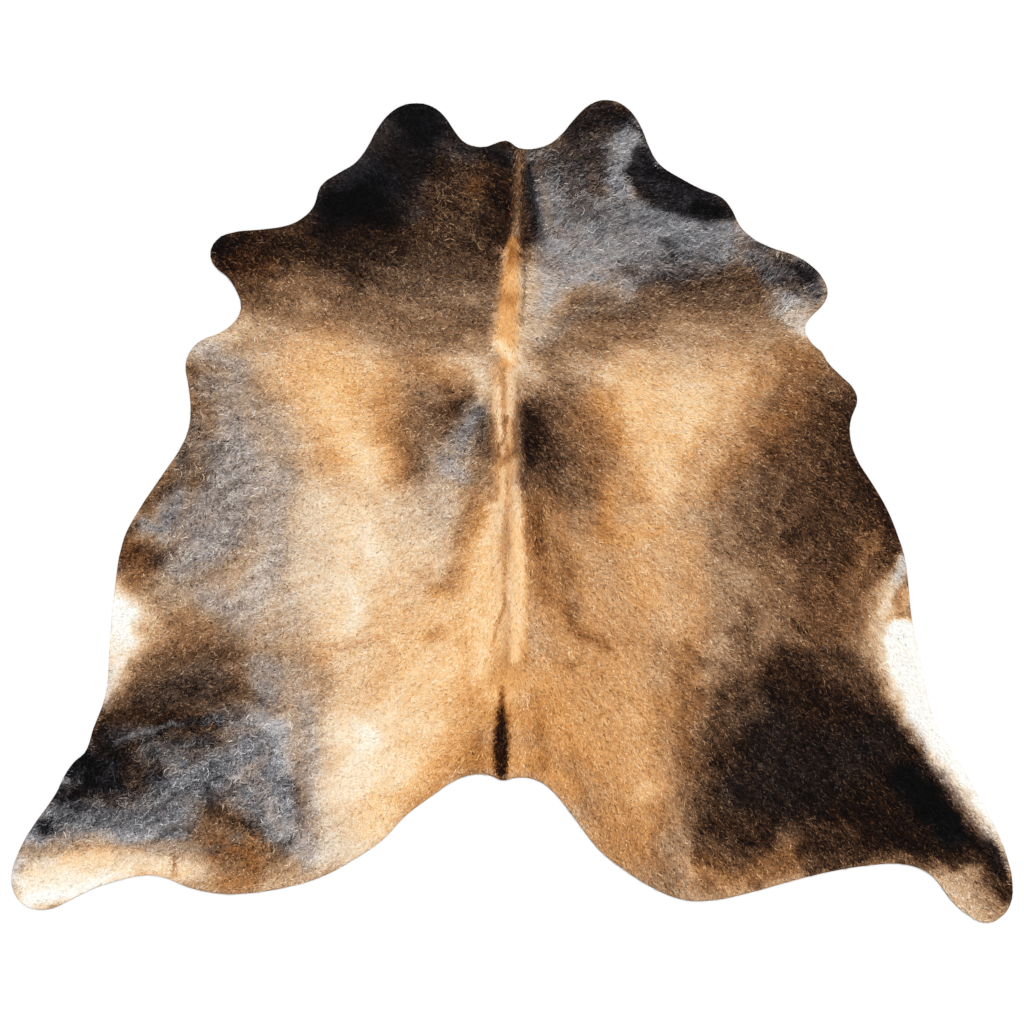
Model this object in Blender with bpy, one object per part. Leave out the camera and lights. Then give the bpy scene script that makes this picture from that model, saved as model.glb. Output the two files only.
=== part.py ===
"""A cow hide, tanned with its hair on and trimmed to one outline, lying flat as a floor rug.

The hide is one solid. Its underside is flat. Its top follows the lying coat: highest along the
back, thinner towards the belly, wavy on the neck, and rounded off where the hair ends at the rim.
The origin is on the floor, under the middle of the outline's box. +X runs towards the hide's
right side as it is seen from above, and +Y runs from the tail to the neck.
"""

import math

import bmesh
import bpy

# Driving dimensions, in metres
HIDE_WIDTH = 2.200
HIDE_LENGTH = 1.808

# Thickness: the leather with the lying coat on it
THICKNESS_AT_SPINE = 0.0052
THICKNESS_AT_BELLY = 0.0042
BELLY_REACH = 0.75
RIM_THICKNESS = 0.0030
RIM_ROUNDING = 0.010

# The low ridge where the hair meets over the backbone
RIDGE_HEIGHT = 0.0012
RIDGE_HALF_WIDTH = 0.028
RIDGE_FADE = 0.10

# The wrinkles across the neck
WRINKLE_HEIGHT = 0.0007
WRINKLE_PITCH = 0.075
WRINKLES_FROM = 0.42
WRINKLES_FULL_AT = 0.62
WRINKLE_BEND = 0.019
WRINKLE_BEND_LENGTH = 0.375

# The slight unevenness all over
SWELL_HEIGHT = 0.0004
SWELL_LENGTH = 0.34
SWELL_SLANT = 0.4

# Mesh sizes
CURVE_STEPS = 3
GRID_PITCH = 0.036
RIDGE_CUTS = (-0.044, -0.022, 0.0, 0.022, 0.044)
SNAP = 0.0015
MERGE_WITHIN = 0.0001
SHARP_FROM = math.radians(40)

COAT_COLOUR = (0.42, 0.27, 0.15, 1.0)
COAT_ROUGHNESS = 0.72

# The line of the backbone, from neck to tail. Columns: x, y, in millimetres.
BACKBONE = ((15, 800), (12, 640), (-9, 360), (-9, -195), (-22, -480), (-24, -592))

# The trimmed edge, clockwise as seen from above. Each stretch is a table of the points that its
# shape needs, and a smooth curve runs through them all. Columns: x, y, in millimetres.
OUTLINE = {
    "neck": (
        (-16, 815), (-2, 810), (13, 799), (65, 800),
    ),
    "right_neck_lobe": (
        (97, 817), (146, 872), (175, 896), (208, 904), (246, 892), (279, 854), (308, 786),
        (328, 759), (369, 733),
    ),
    "right_shoulder": (
        (418, 707), (462, 689), (486, 658), (499, 630), (528, 601), (571, 579), (620, 563),
        (659, 539), (683, 512), (694, 482), (685, 456), (657, 428),
    ),
    "right_arm_hollow": (
        (643, 404), (660, 368), (681, 350), (694, 327), (726, 295), (751, 269), (759, 242),
        (747, 209), (742, 179), (755, 121),
    ),
    "right_flank": (
        (793, 59), (826, 1), (848, -54), (862, -98), (870, -151), (878, -234), (895, -320),
        (930, -469), (978, -546), (1026, -630), (1067, -707),
    ),
    "right_hind_leg": (
        (1088, -761), (1100, -820), (1094, -867), (1073, -893), (1043, -905), (1008, -891),
        (966, -856), (930, -808), (901, -787), (853, -775),
    ),
    "right_rump": (
        (787, -778), (699, -792), (609, -814), (539, -834), (420, -857), (365, -851), (301, -823),
        (241, -784),
    ),
    "tail_arch": (
        (193, -746), (134, -670), (76, -603), (42, -587), (4, -586), (-21, -592), (-46, -581),
        (-80, -578), (-122, -590), (-172, -623), (-235, -670),
    ),
    "left_rump": (
        (-282, -720), (-354, -769), (-411, -800), (-473, -821), (-597, -841), (-655, -839),
        (-712, -826), (-769, -803), (-811, -800), (-868, -812), (-925, -831),
    ),
    "left_hind_leg": (
        (-973, -855), (-1015, -874), (-1054, -873), (-1080, -858), (-1097, -829), (-1099, -796),
        (-1087, -757), (-1064, -710), (-1001, -619), (-983, -581), (-961, -550), (-937, -529),
    ),
    "left_flank": (
        (-921, -481), (-892, -402), (-885, -321), (-873, -177), (-854, -64), (-831, -16),
        (-759, 93), (-730, 136), (-711, 179), (-706, 227), (-711, 278),
    ),
    "left_arm_hollow": (
        (-717, 323), (-706, 353), (-680, 377), (-644, 391), (-609, 417), (-595, 448), (-606, 486),
        (-625, 515),
    ),
    "left_front_leg": (
        (-653, 539), (-663, 567), (-649, 596), (-625, 610), (-544, 620), (-491, 629), (-458, 646),
        (-435, 671), (-420, 715),
    ),
    "left_neck_lobe": (
        (-378, 745), (-345, 765), (-317, 801), (-297, 839), (-268, 875), (-240, 892), (-211, 897),
        (-178, 891), (-149, 869), (-125, 834), (-106, 812), (-83, 802), (-54, 802), (-35, 809),
    ),
}


def clear_scene():
    for obj in list(bpy.data.objects):
        bpy.data.objects.remove(obj, do_unlink=True)


def make_collection(name):
    collection = bpy.data.collections.new(name)
    bpy.context.scene.collection.children.link(collection)
    return collection


def coat_material():
    material = bpy.data.materials.new("coat")
    material.use_nodes = True
    shader = material.node_tree.nodes["Principled BSDF"]
    shader.inputs["Base Color"].default_value = COAT_COLOUR
    shader.inputs["Roughness"].default_value = COAT_ROUGHNESS
    shader.inputs["Metallic"].default_value = 0.0
    return material


def trimmed_edge():
    """The outline's tables joined and run through by one closed smooth curve, as loose edges."""
    rows = [row for stretch in OUTLINE.values() for row in stretch]
    curve = bpy.data.curves.new("trimmed_edge", "CURVE")
    curve.dimensions = "2D"
    curve.fill_mode = "NONE"
    curve.resolution_u = CURVE_STEPS
    spline = curve.splines.new("BEZIER")
    spline.use_cyclic_u = True
    spline.bezier_points.add(len(rows) - 1)
    for point, (x, y) in zip(spline.bezier_points, rows):
        point.co = (x / 1000, y / 1000, 0.0)
        point.handle_left_type = "AUTO"
        point.handle_right_type = "AUTO"
    guide = bpy.data.objects.new("trimmed_edge", curve)
    bpy.context.scene.collection.objects.link(guide)
    graph = bpy.context.evaluated_depsgraph_get()
    mesh = bpy.data.meshes.new_from_object(guide.evaluated_get(graph))
    bpy.data.objects.remove(guide, do_unlink=True)
    return mesh


def fit_to_driving_sizes(bm):
    """Centres the outline on the origin and stretches it to the driving width and length."""
    for axis, wanted in ((0, HIDE_WIDTH), (1, HIDE_LENGTH)):
        places = [vertex.co[axis] for vertex in bm.verts]
        low = min(places)
        high = max(places)
        for vertex in bm.verts:
            vertex.co[axis] = (vertex.co[axis] - (low + high) / 2) * wanted / (high - low)


def cut_lines():
    """Where the top is cut into cells: an even grid, and closer lines along the backbone."""
    half_columns = math.ceil(HIDE_WIDTH / 2 / GRID_PITCH)
    half_rows = math.ceil(HIDE_LENGTH / 2 / GRID_PITCH)
    clear = RIDGE_CUTS[-1] + GRID_PITCH / 2
    columns = [k * GRID_PITCH for k in range(-half_columns, half_columns + 1)]
    columns = [x for x in columns if abs(x - backbone_x(0.0)) > clear]
    columns += [x + backbone_x(0.0) for x in RIDGE_CUTS]
    rows = [(k + 0.5) * GRID_PITCH for k in range(-half_rows, half_rows)]
    return [((x, 0, 0), (1, 0, 0)) for x in columns] + [((0, y, 0), (0, 1, 0)) for y in rows]


def flat_pattern(mesh):
    """The outline as one face, with a band along its rim and the rest cut into cells."""
    bm = bmesh.new()
    bm.from_mesh(mesh)
    bmesh.ops.remove_doubles(bm, verts=bm.verts, dist=MERGE_WITHIN)
    fit_to_driving_sizes(bm)
    made = bmesh.ops.contextual_create(bm, geom=bm.edges[:])
    inner = made["faces"][0]
    inner.normal_update()
    if inner.normal.z < 0:
        inner.normal_flip()
    bmesh.ops.inset_region(bm, faces=[inner], thickness=RIM_ROUNDING, use_even_offset=False)
    cells = [inner]
    for place, normal in cut_lines():
        edges = dict.fromkeys(edge for face in cells for edge in face.edges)
        corners = dict.fromkeys(corner for face in cells for corner in face.verts)
        whole = [*cells, *edges, *corners]
        cut = bmesh.ops.bisect_plane(bm, geom=whole, dist=SNAP, plane_co=place, plane_no=normal)
        cells = [part for part in cut["geom"] if isinstance(part, bmesh.types.BMFace)]
    return bm


def backbone_x(y):
    """The backbone's x at a place along the hide, between the rows of its table."""
    table = [(a / 1000, b / 1000) for a, b in BACKBONE]
    if y >= table[0][1]:
        return table[0][0]
    for (x0, y0), (x1, y1) in zip(table, table[1:]):
        if y >= y1:
            return x0 + (x1 - x0) * (y0 - y) / (y0 - y1)
    return table[-1][0]


def smooth_step(low, high, value):
    share = min(max((value - low) / (high - low), 0.0), 1.0)
    return share * share * (3 - 2 * share)


def top_height(x, y):
    """The coat's height: back thicker than belly, plus ridge, neck wrinkles and slow swells."""
    off_spine = abs(x - backbone_x(y))
    thinning = THICKNESS_AT_SPINE - THICKNESS_AT_BELLY
    base = THICKNESS_AT_SPINE - thinning * smooth_step(0.0, BELLY_REACH, off_spine)
    neck_end = BACKBONE[0][1] / 1000
    tail_end = BACKBONE[-1][1] / 1000
    fade = smooth_step(tail_end, tail_end + RIDGE_FADE, y)
    fade *= 1 - smooth_step(neck_end - RIDGE_FADE, neck_end, y)
    ridge = RIDGE_HEIGHT * fade * math.exp(-((off_spine / RIDGE_HALF_WIDTH) ** 2))
    bend = WRINKLE_BEND * math.sin(2 * math.pi * x / WRINKLE_BEND_LENGTH)
    wrinkle = WRINKLE_HEIGHT * math.sin(2 * math.pi * (y + bend) / WRINKLE_PITCH)
    wrinkle *= smooth_step(WRINKLES_FROM, WRINKLES_FULL_AT, y)
    turn = 2 * math.pi / SWELL_LENGTH
    swell = math.sin(turn * (x + SWELL_SLANT * y)) * math.cos(turn * (y - SWELL_SLANT * x))
    return base + ridge + wrinkle + SWELL_HEIGHT * swell


def raise_top(bm):
    """Thickens the pattern into one closed slab, and lifts its top to the coat's height."""
    rim = {(vertex.co.x, vertex.co.y) for vertex in bm.verts if vertex.is_boundary}
    raised = bmesh.ops.extrude_face_region(bm, geom=bm.faces[:])
    for part in raised["geom"]:
        if isinstance(part, bmesh.types.BMVert):
            on_rim = (part.co.x, part.co.y) in rim
            part.co.z = RIM_THICKNESS if on_rim else top_height(part.co.x, part.co.y)
    bmesh.ops.recalc_face_normals(bm, faces=bm.faces[:])
    bmesh.ops.triangulate(bm, faces=bm.faces[:])


def make_hide(collection):
    edge = trimmed_edge()
    bm = flat_pattern(edge)
    bpy.data.meshes.remove(edge)
    raise_top(bm)
    mesh = bpy.data.meshes.new("hide")
    bm.to_mesh(mesh)
    bm.free()
    mesh.materials.append(coat_material())
    mesh.shade_smooth()
    mesh.set_sharp_from_angle(angle=SHARP_FROM)
    hide = bpy.data.objects.new("hide", mesh)
    collection.objects.link(hide)
    return hide


def main():
    clear_scene()
    make_hide(make_collection("cowhide_rug"))


main()
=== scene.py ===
"""A hair-on cowhide rug, laid flat and seen from straight above.

The hide is a thin suede-backed sheet trimmed to the CAD outline. Its coat is real geometry: layers
of short hair, each hair a small bent blade that lies the way the coat grows and takes its colour
from the markings. Places in the tables of brush strokes and of the coat's lie are in centimetres,
and everything else is in metres: +X to the hide's right side, +Y from the tail to the neck, and +Z
up out of the coat.
"""

import math

import bpy
import numpy as np
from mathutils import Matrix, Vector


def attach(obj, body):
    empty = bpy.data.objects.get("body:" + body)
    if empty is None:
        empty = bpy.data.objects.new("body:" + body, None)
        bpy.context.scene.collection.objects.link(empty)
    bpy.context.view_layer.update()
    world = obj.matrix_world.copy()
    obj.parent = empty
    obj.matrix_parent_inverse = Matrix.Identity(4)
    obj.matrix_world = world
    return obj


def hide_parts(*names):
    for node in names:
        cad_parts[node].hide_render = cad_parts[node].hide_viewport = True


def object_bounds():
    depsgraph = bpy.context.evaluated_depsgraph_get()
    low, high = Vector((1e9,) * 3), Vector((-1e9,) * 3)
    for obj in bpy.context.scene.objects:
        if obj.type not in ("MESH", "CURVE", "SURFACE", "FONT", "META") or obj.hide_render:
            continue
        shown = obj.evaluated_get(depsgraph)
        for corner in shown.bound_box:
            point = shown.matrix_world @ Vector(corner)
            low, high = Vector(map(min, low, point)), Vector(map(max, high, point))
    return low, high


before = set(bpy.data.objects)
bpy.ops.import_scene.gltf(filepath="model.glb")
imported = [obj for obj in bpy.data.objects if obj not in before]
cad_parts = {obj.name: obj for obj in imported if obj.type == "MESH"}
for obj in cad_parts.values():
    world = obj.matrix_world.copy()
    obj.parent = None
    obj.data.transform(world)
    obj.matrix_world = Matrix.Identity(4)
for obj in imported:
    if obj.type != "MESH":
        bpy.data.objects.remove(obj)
CAD_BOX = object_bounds()

CM = 0.01
MM = 0.001
# What is divided by is held at least this large.
TINY = 1e-9

# ---------------------------------------------------------------- sizes of the hide
HIDE_AREA = 2.4957
SPINE_THICKNESS = 5.2 * MM
BELLY_THICKNESS = 4.2 * MM
BELLY_REACH = 0.75
RIM_THICKNESS = 3.0 * MM
RIM_ROUNDING = 10 * MM
RIDGE_HEIGHT = 1.2 * MM
RIDGE_HALF_WIDTH = 28 * MM
RIDGE_FADE = 0.10
WRINKLE_HEIGHT = 0.7 * MM
WRINKLE_PITCH = 75 * MM
WRINKLES_FROM = 0.42
WRINKLES_FULL_AT = 0.62
WRINKLE_BEND = 19 * MM
WRINKLE_BEND_LENGTH = 0.375
SWELL_HEIGHT = 0.4 * MM
SWELL_LENGTH = 0.34
SWELL_SLANT = 0.4

# The line of the backbone from tail to neck: places along the hide, and the x at each.
BACKBONE_Y = (-0.592, -0.480, -0.195, 0.360, 0.640, 0.800)
BACKBONE_X = (-0.024, -0.022, -0.009, -0.009, 0.012, 0.015)

# The skin under the coat: its grid, and how deep inside the cut edge a corner has to lie to stay
# where it is. It lies a set depth under the coat's height, and is never thinner than the least.
SKIN_PITCH = 14 * MM
SKIN_MARGIN = 2
SKIN_CORNERS_FROM = 0.35 * SKIN_PITCH
SKIN_BELOW_COAT = 2.8 * MM
SKIN_LEAST = 1.6 * MM
# The chart of how far inside the cut edge a place lies: its grid, and the cells past the rug's box.
CHART_PITCH = 5 * MM
CHART_MARGIN = 8

# ---------------------------------------------------------------- sizes of the coat
# Under hair is broad and even, and makes the ground. Top hair is fine and curly, and lies on it.
# The curl is how far a hair bends, in radians, and the shares are the places along it where it
# has a pair of sides. The lift is its height over the coat's top, and the chance share is how
# much its tone strays from its neighbours'.
UNDER_HAIR = {
    "names": ("under_hair_rump", "under_hair_barrel", "under_hair_neck"),
    "seed": 5, "count": 160000, "length": 16.5 * MM, "width": 5.4 * MM, "curl": 0.6,
    "shares": (0.42,), "lift": -0.6 * MM, "chance_share": 0.20,
}
TOP_HAIR = {
    "names": ("top_hair_rump", "top_hair_barrel", "top_hair_neck"),
    "seed": 6, "count": 255000, "length": 13 * MM, "width": 1.75 * MM, "curl": 1.5,
    "shares": (0.45,), "lift": 0.3 * MM, "chance_share": 0.95,
}
# Longer, curlier hairs that stand out on the roan patches, where light and dark hairs mix.
LONG_HAIR = {
    "names": ("long_hair",),
    "seed": 7, "count": 92000, "length": 20 * MM, "width": 1.5 * MM, "curl": 2.2,
    "shares": (0.2, 0.45, 0.72), "lift": 0.6 * MM, "chance_share": 1.05,
}
# How much the hairs' lengths and widths vary, as shares of those sizes.
LENGTHS = (0.7, 1.35)
WIDTHS = (0.7, 1.3)
# How far single hairs turn from the lie of the coat on each side, in radians, and where the one
# goes over into the other, from right to left.
RIGHT_SPREAD = 0.50
LEFT_SPREAD = 0.80
SPREAD_TURNS_AT = 0.05
SPREAD_TURNS_OVER = 0.2
# How far a root is shaken from the middle of its place, as a share of the places' pitch.
ROOT_SHAKE = 0.6
ROOT_DEPTH = 2.2 * MM
# How far a hair's sides and its tip rise and fall by chance, in millimetres, and how far the blade
# rolls over, as a share of its width.
SIDE_SHAKE = 0.7
TIP_SHAKE = 0.8
ROLL = 0.15
# Hairs end this far inside the cut edge. One that reaches past it is drawn back, up to a limit.
EDGE_CLEARANCE = 0.3 * MM
MOST_DRAWN_BACK = 20 * MM
# The least height of any part of a hair over the floor.
HAIR_LEAST = 0.1 * MM

# ---------------------------------------------------------------- the coat's colours
# Display colours of cool and golden hair from black to white, 0 to 255, at each tone.
TONES = (0.0, 0.1, 0.3, 0.5, 0.7, 0.85, 1.0)
COOL_HAIR = (
    (4, 4, 6), (25, 25, 29), (72, 73, 77), (119, 122, 127), (174, 176, 182), (217, 217, 220),
    (255, 255, 255),
)
GOLDEN_HAIR = (
    (6, 3, 1), (43, 24, 11), (116, 70, 34), (179, 116, 59), (231, 168, 100), (253, 211, 153),
    (255, 254, 246),
)

# How far single hairs stray from the markings' tone, at dark to light tones.
SWING_TONES = (0.0, 0.1, 0.2, 0.3, 0.5, 0.75, 0.9, 1.0)
GOLDEN_SWING = (0.03, 0.135, 0.165, 0.15, 0.13, 0.10, 0.05, 0.02)
COOL_SWING = (0.02, 0.07, 0.12, 0.16, 0.18, 0.16, 0.08, 0.02)
# Which way the strays lean: towards light hairs on dark ground, and the other way on pale ground.
LEAN_TONES = (0.15, 0.5)
LEANS = (0.7, -0.8)
MOST_STRAY = 2.4
# The tone drifts along the hair in fine streaks and in broad blotches: their size and strength.
STREAK_SIZE = 5 * MM
STREAK_SHARE = 0.08
BLOTCH_SIZE = 12 * MM
BLOTCH_SHARE = 0.12
# Blotches are stronger on cool hair than on golden, and stronger still where long hair grows.
COOL_BLOTCHES = 1.3
GOLDEN_BLOTCHES = 0.8
LONG_HAIR_BLOTCHES = 0.6
# Where long hair grows, the markings' borders are ragged: how far they move, and over what length.
RAGGED_REACH = 11 * MM
RAGGED_SIZE = 15 * MM
# The limits of a mixed tone, which may always pass its marking's own tone by a little.
TONE_LEAST = 0.03
TONE_MOST = 0.91
TONE_PASS = 0.03
WARMTH_SPREAD = 0.06
# Each hair's colour is the markings' colour this share of the way along it.
COLOUR_FROM = 0.45
# Tone is added towards the tip and taken off at the root, and the two sides differ in warmth. A
# hair's place keeps clear of the edges of its map.
TIP_LIGHT = 0.015
SIDE_WARMTH = 0.005
MAP_EDGE = 0.01

# ---------------------------------------------------------------- the markings
# Brush strokes laid one over another. Each has a name, the width of its soft edge, the tone that it brings
# (0 black, 1 white), and its dabs (x, y, radius), all in centimetres. A few strokes are painted shade along
# creases and folds of the hide.
BASE_TONE = 0.60
TONE_MARKS = (
    # broad ground first
    ("pale barrel ground", 14, 0.79, ((-30, 0, 15), (-28, -20, 19), (-26, -42, 16), (-36, -66, 10))),
    ("left gold ground", 10, 0.73, ((-48, 36, 8), (-40, 22, 11), (-38, 10, 8))),
    ("left shoulder ground", 8, 0.46, ((-60, 46, 6), (-8, 46, 8))),
    ("left neck ground", 14, 0.17, ((-62, 62, 10), (-22, 72, 20), (-2, 72, 20))),
    ("left hind ground", 9, 0.44, (
        (-104, -60, 14), (-82, -50, 15), (-66, -42, 13), (-60, -58, 14), (-58, -68, 14),
    )),
    ("right side ground", 14, 0.65, (
        (22, 30, 12), (30, 5, 14), (24, -20, 21), (20, -46, 20), (26, -72, 14),
    )),
    ("right flank ground", 18, 0.21, ((74, 26, 8), (78, 5, 18), (74, -12, 14))),
    ("right thigh fade", 12, 0.24, ((58, -38, 9), (82, -50, 12), (56, -60, 17), (90, -68, 9))),
    ("right thigh ground", 9, 0.10, (
        (62, -40, 6), (80, -52, 10), (60, -58, 14), (54, -64, 10), (90, -70, 6),
    )),
    ("right shoulder ground", 8, 0.41, ((14, 44, 5), (36, 46, 6), (58, 48, 7))),
    ("right neck ground", 5, 0.49, ((12, 72, 12), (24, 64, 10), (45, 62, 9), (62, 54, 7))),
    # left neck
    ("left neck dark", 8, 0.17, ((-59, 58, 4), (-44, 61, 5), (-24, 69, 14), (-6, 70, 12))),
    ("left lobe", 6, 0.10, ((-21, 84, 10), (-27, 76, 9))),
    ("left lobe edge", 5, 0.17, ((-29, 83, 3), (-33, 78, 3), (-37, 73, 3))),
    ("left lobe core", 4, 0.07, ((-22, 87, 4), (-20, 82, 3.5))),
    ("shoulder black", 6, 0.035, ((-39, 67, 4), (-34, 66.5, 5.5), (-28, 64, 3.5))),
    ("black run down", 8, 0.04, ((-37, 60, 3), (-35, 60, 6), (-33, 55, 5))),
    ("dark run side", 7, 0.06, ((-42, 60, 2), (-34, 59, 3.6))),
    ("neck rust glow", 9, 0.24, ((-15, 68, 4), (-11, 67, 6), (-12, 62, 5))),
    ("neck rust spot", 4, 0.26, ((-9, 71, 2.5),)),
    ("neck top brown", 4, 0.19, ((-14, 80, 2), (-9, 76, 3))),
    ("dark beside spine", 3, 0.12, ((-4, 79, 2.8), (-4, 70, 1.8), (-4.5, 64, 2.6), (-4.5, 57, 1.6))),
    ("left foreleg tip", 5, 0.035, ((-63.5, 57.5, 3.6),)),
    ("left foreleg edge", 4, 0.07, ((-61.4, 54, 3), (-60.5, 58.5, 3))),
    ("left foreleg brown", 6, 0.10, ((-57.6, 54.4, 3.2), (-56, 57, 3), (-48, 58, 3))),
    # left shoulder
    ("shoulder brown upper", 9, 0.15, ((-59, 52, 2.6), (-46, 54, 3.4), (-30, 55.4, 4.4))),
    ("shoulder brown inner", 8, 0.24, ((-18, 56, 3), (-9, 54, 4))),
    ("shoulder brown", 9, 0.31, ((-57, 48.4, 2), (-45, 49.5, 3.6), (-22, 48.5, 4))),
    ("shoulder brown near spine", 8, 0.36, ((-9, 48, 4),)),
    ("shoulder brown left", 6, 0.46, ((-50, 49.5, 2.5), (-41, 48.5, 3))),
    ("left arm dab", 3, 0.22, ((-53, 51.5, 1), (-48.5, 51.5, 1))),
    ("shoulder brown lower", 8, 0.41, ((-42, 44.5, 2.5), (-30, 44, 4), (-14, 43, 4))),
    ("shoulder pale low", 6, 0.46, ((-57, 43.5, 2),)),
    ("shoulder mid low", 6, 0.57, ((-45, 44.6, 2),)),
    ("dark tongue", 7, 0.12, ((-34.6, 57.4, 4), (-34, 52.4, 2.2))),
    ("withers spot", 4, 0.51, ((-8.5, 46.5, 1.8),)),
    ("withers shade", 6, 0.42, ((-20, 39.5, 3), (-12, 40, 4), (-7, 40, 2.5))),
    ("withers shade dark", 3, 0.37, ((-10, 43, 1), (-7.2, 41.5, 1.3))),
    ("withers left pale", 3, 0.60, ((-8.4, 38.5, 1),)),
    ("shoulder light", 6, 0.50, ((-43, 39.5, 1.6), (-33, 39.5, 2.5), (-26, 37, 3))),
    ("shoulder pale", 5, 0.66, ((-56, 40, 2), (-50, 39, 2.5))),
    ("elbow pale", 5, 0.77, ((-59, 41.5, 2.4), (-64, 37.8, 2.4), (-68.6, 35.4, 2.4))),
    ("back shade", 7, 0.50, ((-20, 35, 3), (-20, 29, 3.4))),
    ("back dab", 4, 0.36, ((-14.5, 27, 1.6),)),
    # left golden side
    ("gold upper", 9, 0.75, ((-44, 34, 5), (-33, 31, 5))),
    ("gold middle", 8, 0.82, ((-41, 25, 4), (-37, 20, 4.5), (-34, 13, 3.5), (-33, 8, 4))),
    ("gold side dab", 5, 0.84, ((-29.5, 26, 2),)),
    ("gold heart", 4, 0.86, ((-34, 15, 1.6), (-31, 8, 1.6))),
    ("gold shade", 4, 0.64, ((-42, 10.5, 1.6), (-39, 12, 1.2))),
    ("arm brown", 4, 0.38, ((-70.5, 32, 1.6), (-69.6, 27, 1.8), (-69.6, 18, 2.2))),
    ("arm brown low", 4, 0.46, ((-66, 23, 1.8), (-67.5, 16, 1.6))),
    ("arm brown inner", 4, 0.56, ((-66, 33, 2.4), (-67, 29, 1.4))),
    ("arm brown inner low", 3, 0.42, ((-66, 27.4, 1.2),)),
    ("flank grey spot", 4, 0.54, ((-55, 25.5, 1.6),)),
    ("flank dark edge", 5, 0.33, ((-71.5, 13, 2), (-70.5, 9, 3), (-76, 6, 2.4), (-80, 1.5, 2))),
    ("flank dark inner", 5, 0.40, ((-63.5, 13.3, 1.2), (-67, 11, 2), (-68, 5, 2))),
    ("flank grey", 8, 0.52, ((-74, -2, 3), (-66, 1.5, 3), (-60, 0, 3))),
    ("flank grey dots", 3, 0.52, ((-70, -4.5, 1.2), (-58, -7.5, 1.2), (-55.5, -3, 1.4))),
    ("flank mid pale", 9, 0.66, ((-55, 16, 3), (-50, 2, 3), (-52, -6, 3))),
    ("flank blend", 9, 0.82, ((-44, 3, 3), (-42.4, -8, 5), (-45, -19, 5))),
    ("flank blend low", 9, 0.72, ((-55, -10, 4), (-57, -19, 5), (-49, -24, 3))),
    # patch left of the spine
    ("back patch ground", 8, 0.44, ((-19, 21, 5), (-21, 17, 5.4), (-21, 9, 4.6))),
    ("back patch rim", 6, 0.60, ((-27, 26, 2.6), (-27.5, 22, 2))),
    ("back patch brown", 5, 0.42, ((-22, 20, 1.8), (-18, 19.5, 2.4), (-17, 17, 2))),
    ("back patch dark", 5, 0.20, ((-9.6, 25.6, 1.2), (-12, 23.6, 2.1), (-13.8, 21.4, 1.8))),
    ("back light above", 4, 0.80, ((-9.5, 32.6, 2.2), (-6.6, 31.4, 2), (-5.4, 27, 0.8))),
    ("back light left", 4, 0.70, ((-14, 33, 2),)),
    ("blue roan head", 3.4, 0.53, ((-6.6, 23.6, 1.4), (-9, 19.4, 2.4), (-13, 15, 3))),
    ("blue roan body", 5, 0.59, ((-14.4, 11, 4), (-13, 7, 3.4), (-11, 10, 2.2))),
    ("back patch left", 4, 0.38, ((-15, 17.5, 1.8),)),
    ("back patch gap", 3.5, 0.26, ((-6.4, 21, 1), (-5.8, 17, 1.8), (-5.4, 12.4, 2))),
    ("back patch right low", 4, 0.46, ((-6.4, 8, 2),)),
    ("back patch low", 4, 0.42, ((-22, 12.5, 1.6), (-20, 10.5, 1.4))),
    ("roan run light", 6, 0.71, ((-22, 3, 3), (-15, 4, 2.4), (-16, -1.5, 3.4))),
    ("roan run brown", 4, 0.49, ((-7, 11, 1.4), (-7.8, 6, 1.6), (-10, 0, 1.8), (-11.3, -6, 1.3))),
    # pale barrel, left
    ("barrel pale", 8, 0.86, ((-40, 1, 3), (-34, -3, 5), (-33, -12, 6), (-38, -18, 5), (-36, -24, 3.5))),
    ("barrel palest", 5, 0.91, ((-31.5, -6, 2.6), (-29.5, -10, 2.4))),
    ("barrel pale low", 4, 0.91, ((-36, -17, 2), (-33, -22, 2), (-36, -25, 1.8))),
    ("barrel shade", 3, 0.80, ((-35, -12, 1.2),)),
    # painted shade along a fold across the loin, in a darker and a paler stroke
    ("loin fold shade", 4, 0.55, ((-12, -12, 1.6), (-14, -15.5, 1.8), (-17, -17.5, 1.0))),
    ("loin fold pale shade", 4, 0.68, ((-19, -13, 1.6),)),
    ("loin bright", 7, 0.87, ((-5.5, -8, 1.8), (-5.5, -15, 2.2), (-6, -21, 3.6), (-7, -35, 2.4))),
    ("loin middle", 5, 0.80, ((-6, -28, 1.6),)),
    ("loin pale low", 5, 0.77, ((-5.5, -40, 1.6), (2.4, -40, 1.6))),
    ("loin foot shade", 5, 0.71, ((-1.4, -36.4, 1.6), (4, -36.4, 1.4))),
    ("loin dab", 3.5, 0.62, ((-16.5, -26.5, 1.8),)),
    # painted shade: a darker line where the hide creases across the barrel
    ("barrel crease shade", 4, 0.70, ((-50, -29, 1.2), (-38, -29.2, 0.8), (-28, -28.8, 1.5))),
    ("loin left tan", 6, 0.60, ((-47, -32, 2.5), (-43, -36, 4))),
    ("loin yellow", 6, 0.83, ((-22, -40, 4), (-14, -34, 3.5))),
    ("loin yellow shade", 4, 0.75, ((-29, -40, 1.8), (-25, -31.5, 1.4))),
    # rump, left
    ("rump cream", 8, 0.91, ((-38, -49, 3.4), (-31, -50, 5), (-33, -57, 6), (-38, -62, 3))),
    ("rump cream inner", 6, 0.87, ((-26, -46, 3), (-18, -47, 1.6))),
    ("rump cream low", 7, 0.88, ((-24, -56, 4.4),)),
    ("rump cream heart", 3, 0.95, ((-33, -47, 1.5), (-31, -49.5, 1.7), (-34, -52.5, 1))),
    ("rump tan edge", 6, 0.84, ((-27, -66, 3), (-34, -73, 4), (-41, -76, 3))),
    ("rump by tail", 7, 0.62, ((-8, -48, 2), (-8.5, -53, 3.4), (-14, -59, 2.2))),
    ("rump by tail dark", 5, 0.51, ((-7, -50, 1.5), (-9, -56, 2.6))),
    # left hind leg
    ("hind edge brown", 4, 0.25, (
        (-83.4, -3.4, 2), (-86.4, -8.6, 2.6), (-86, -11.6, 2), (-82.5, -10, 3.4), (-78.5, -10.5, 2.6),
    )),
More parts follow.
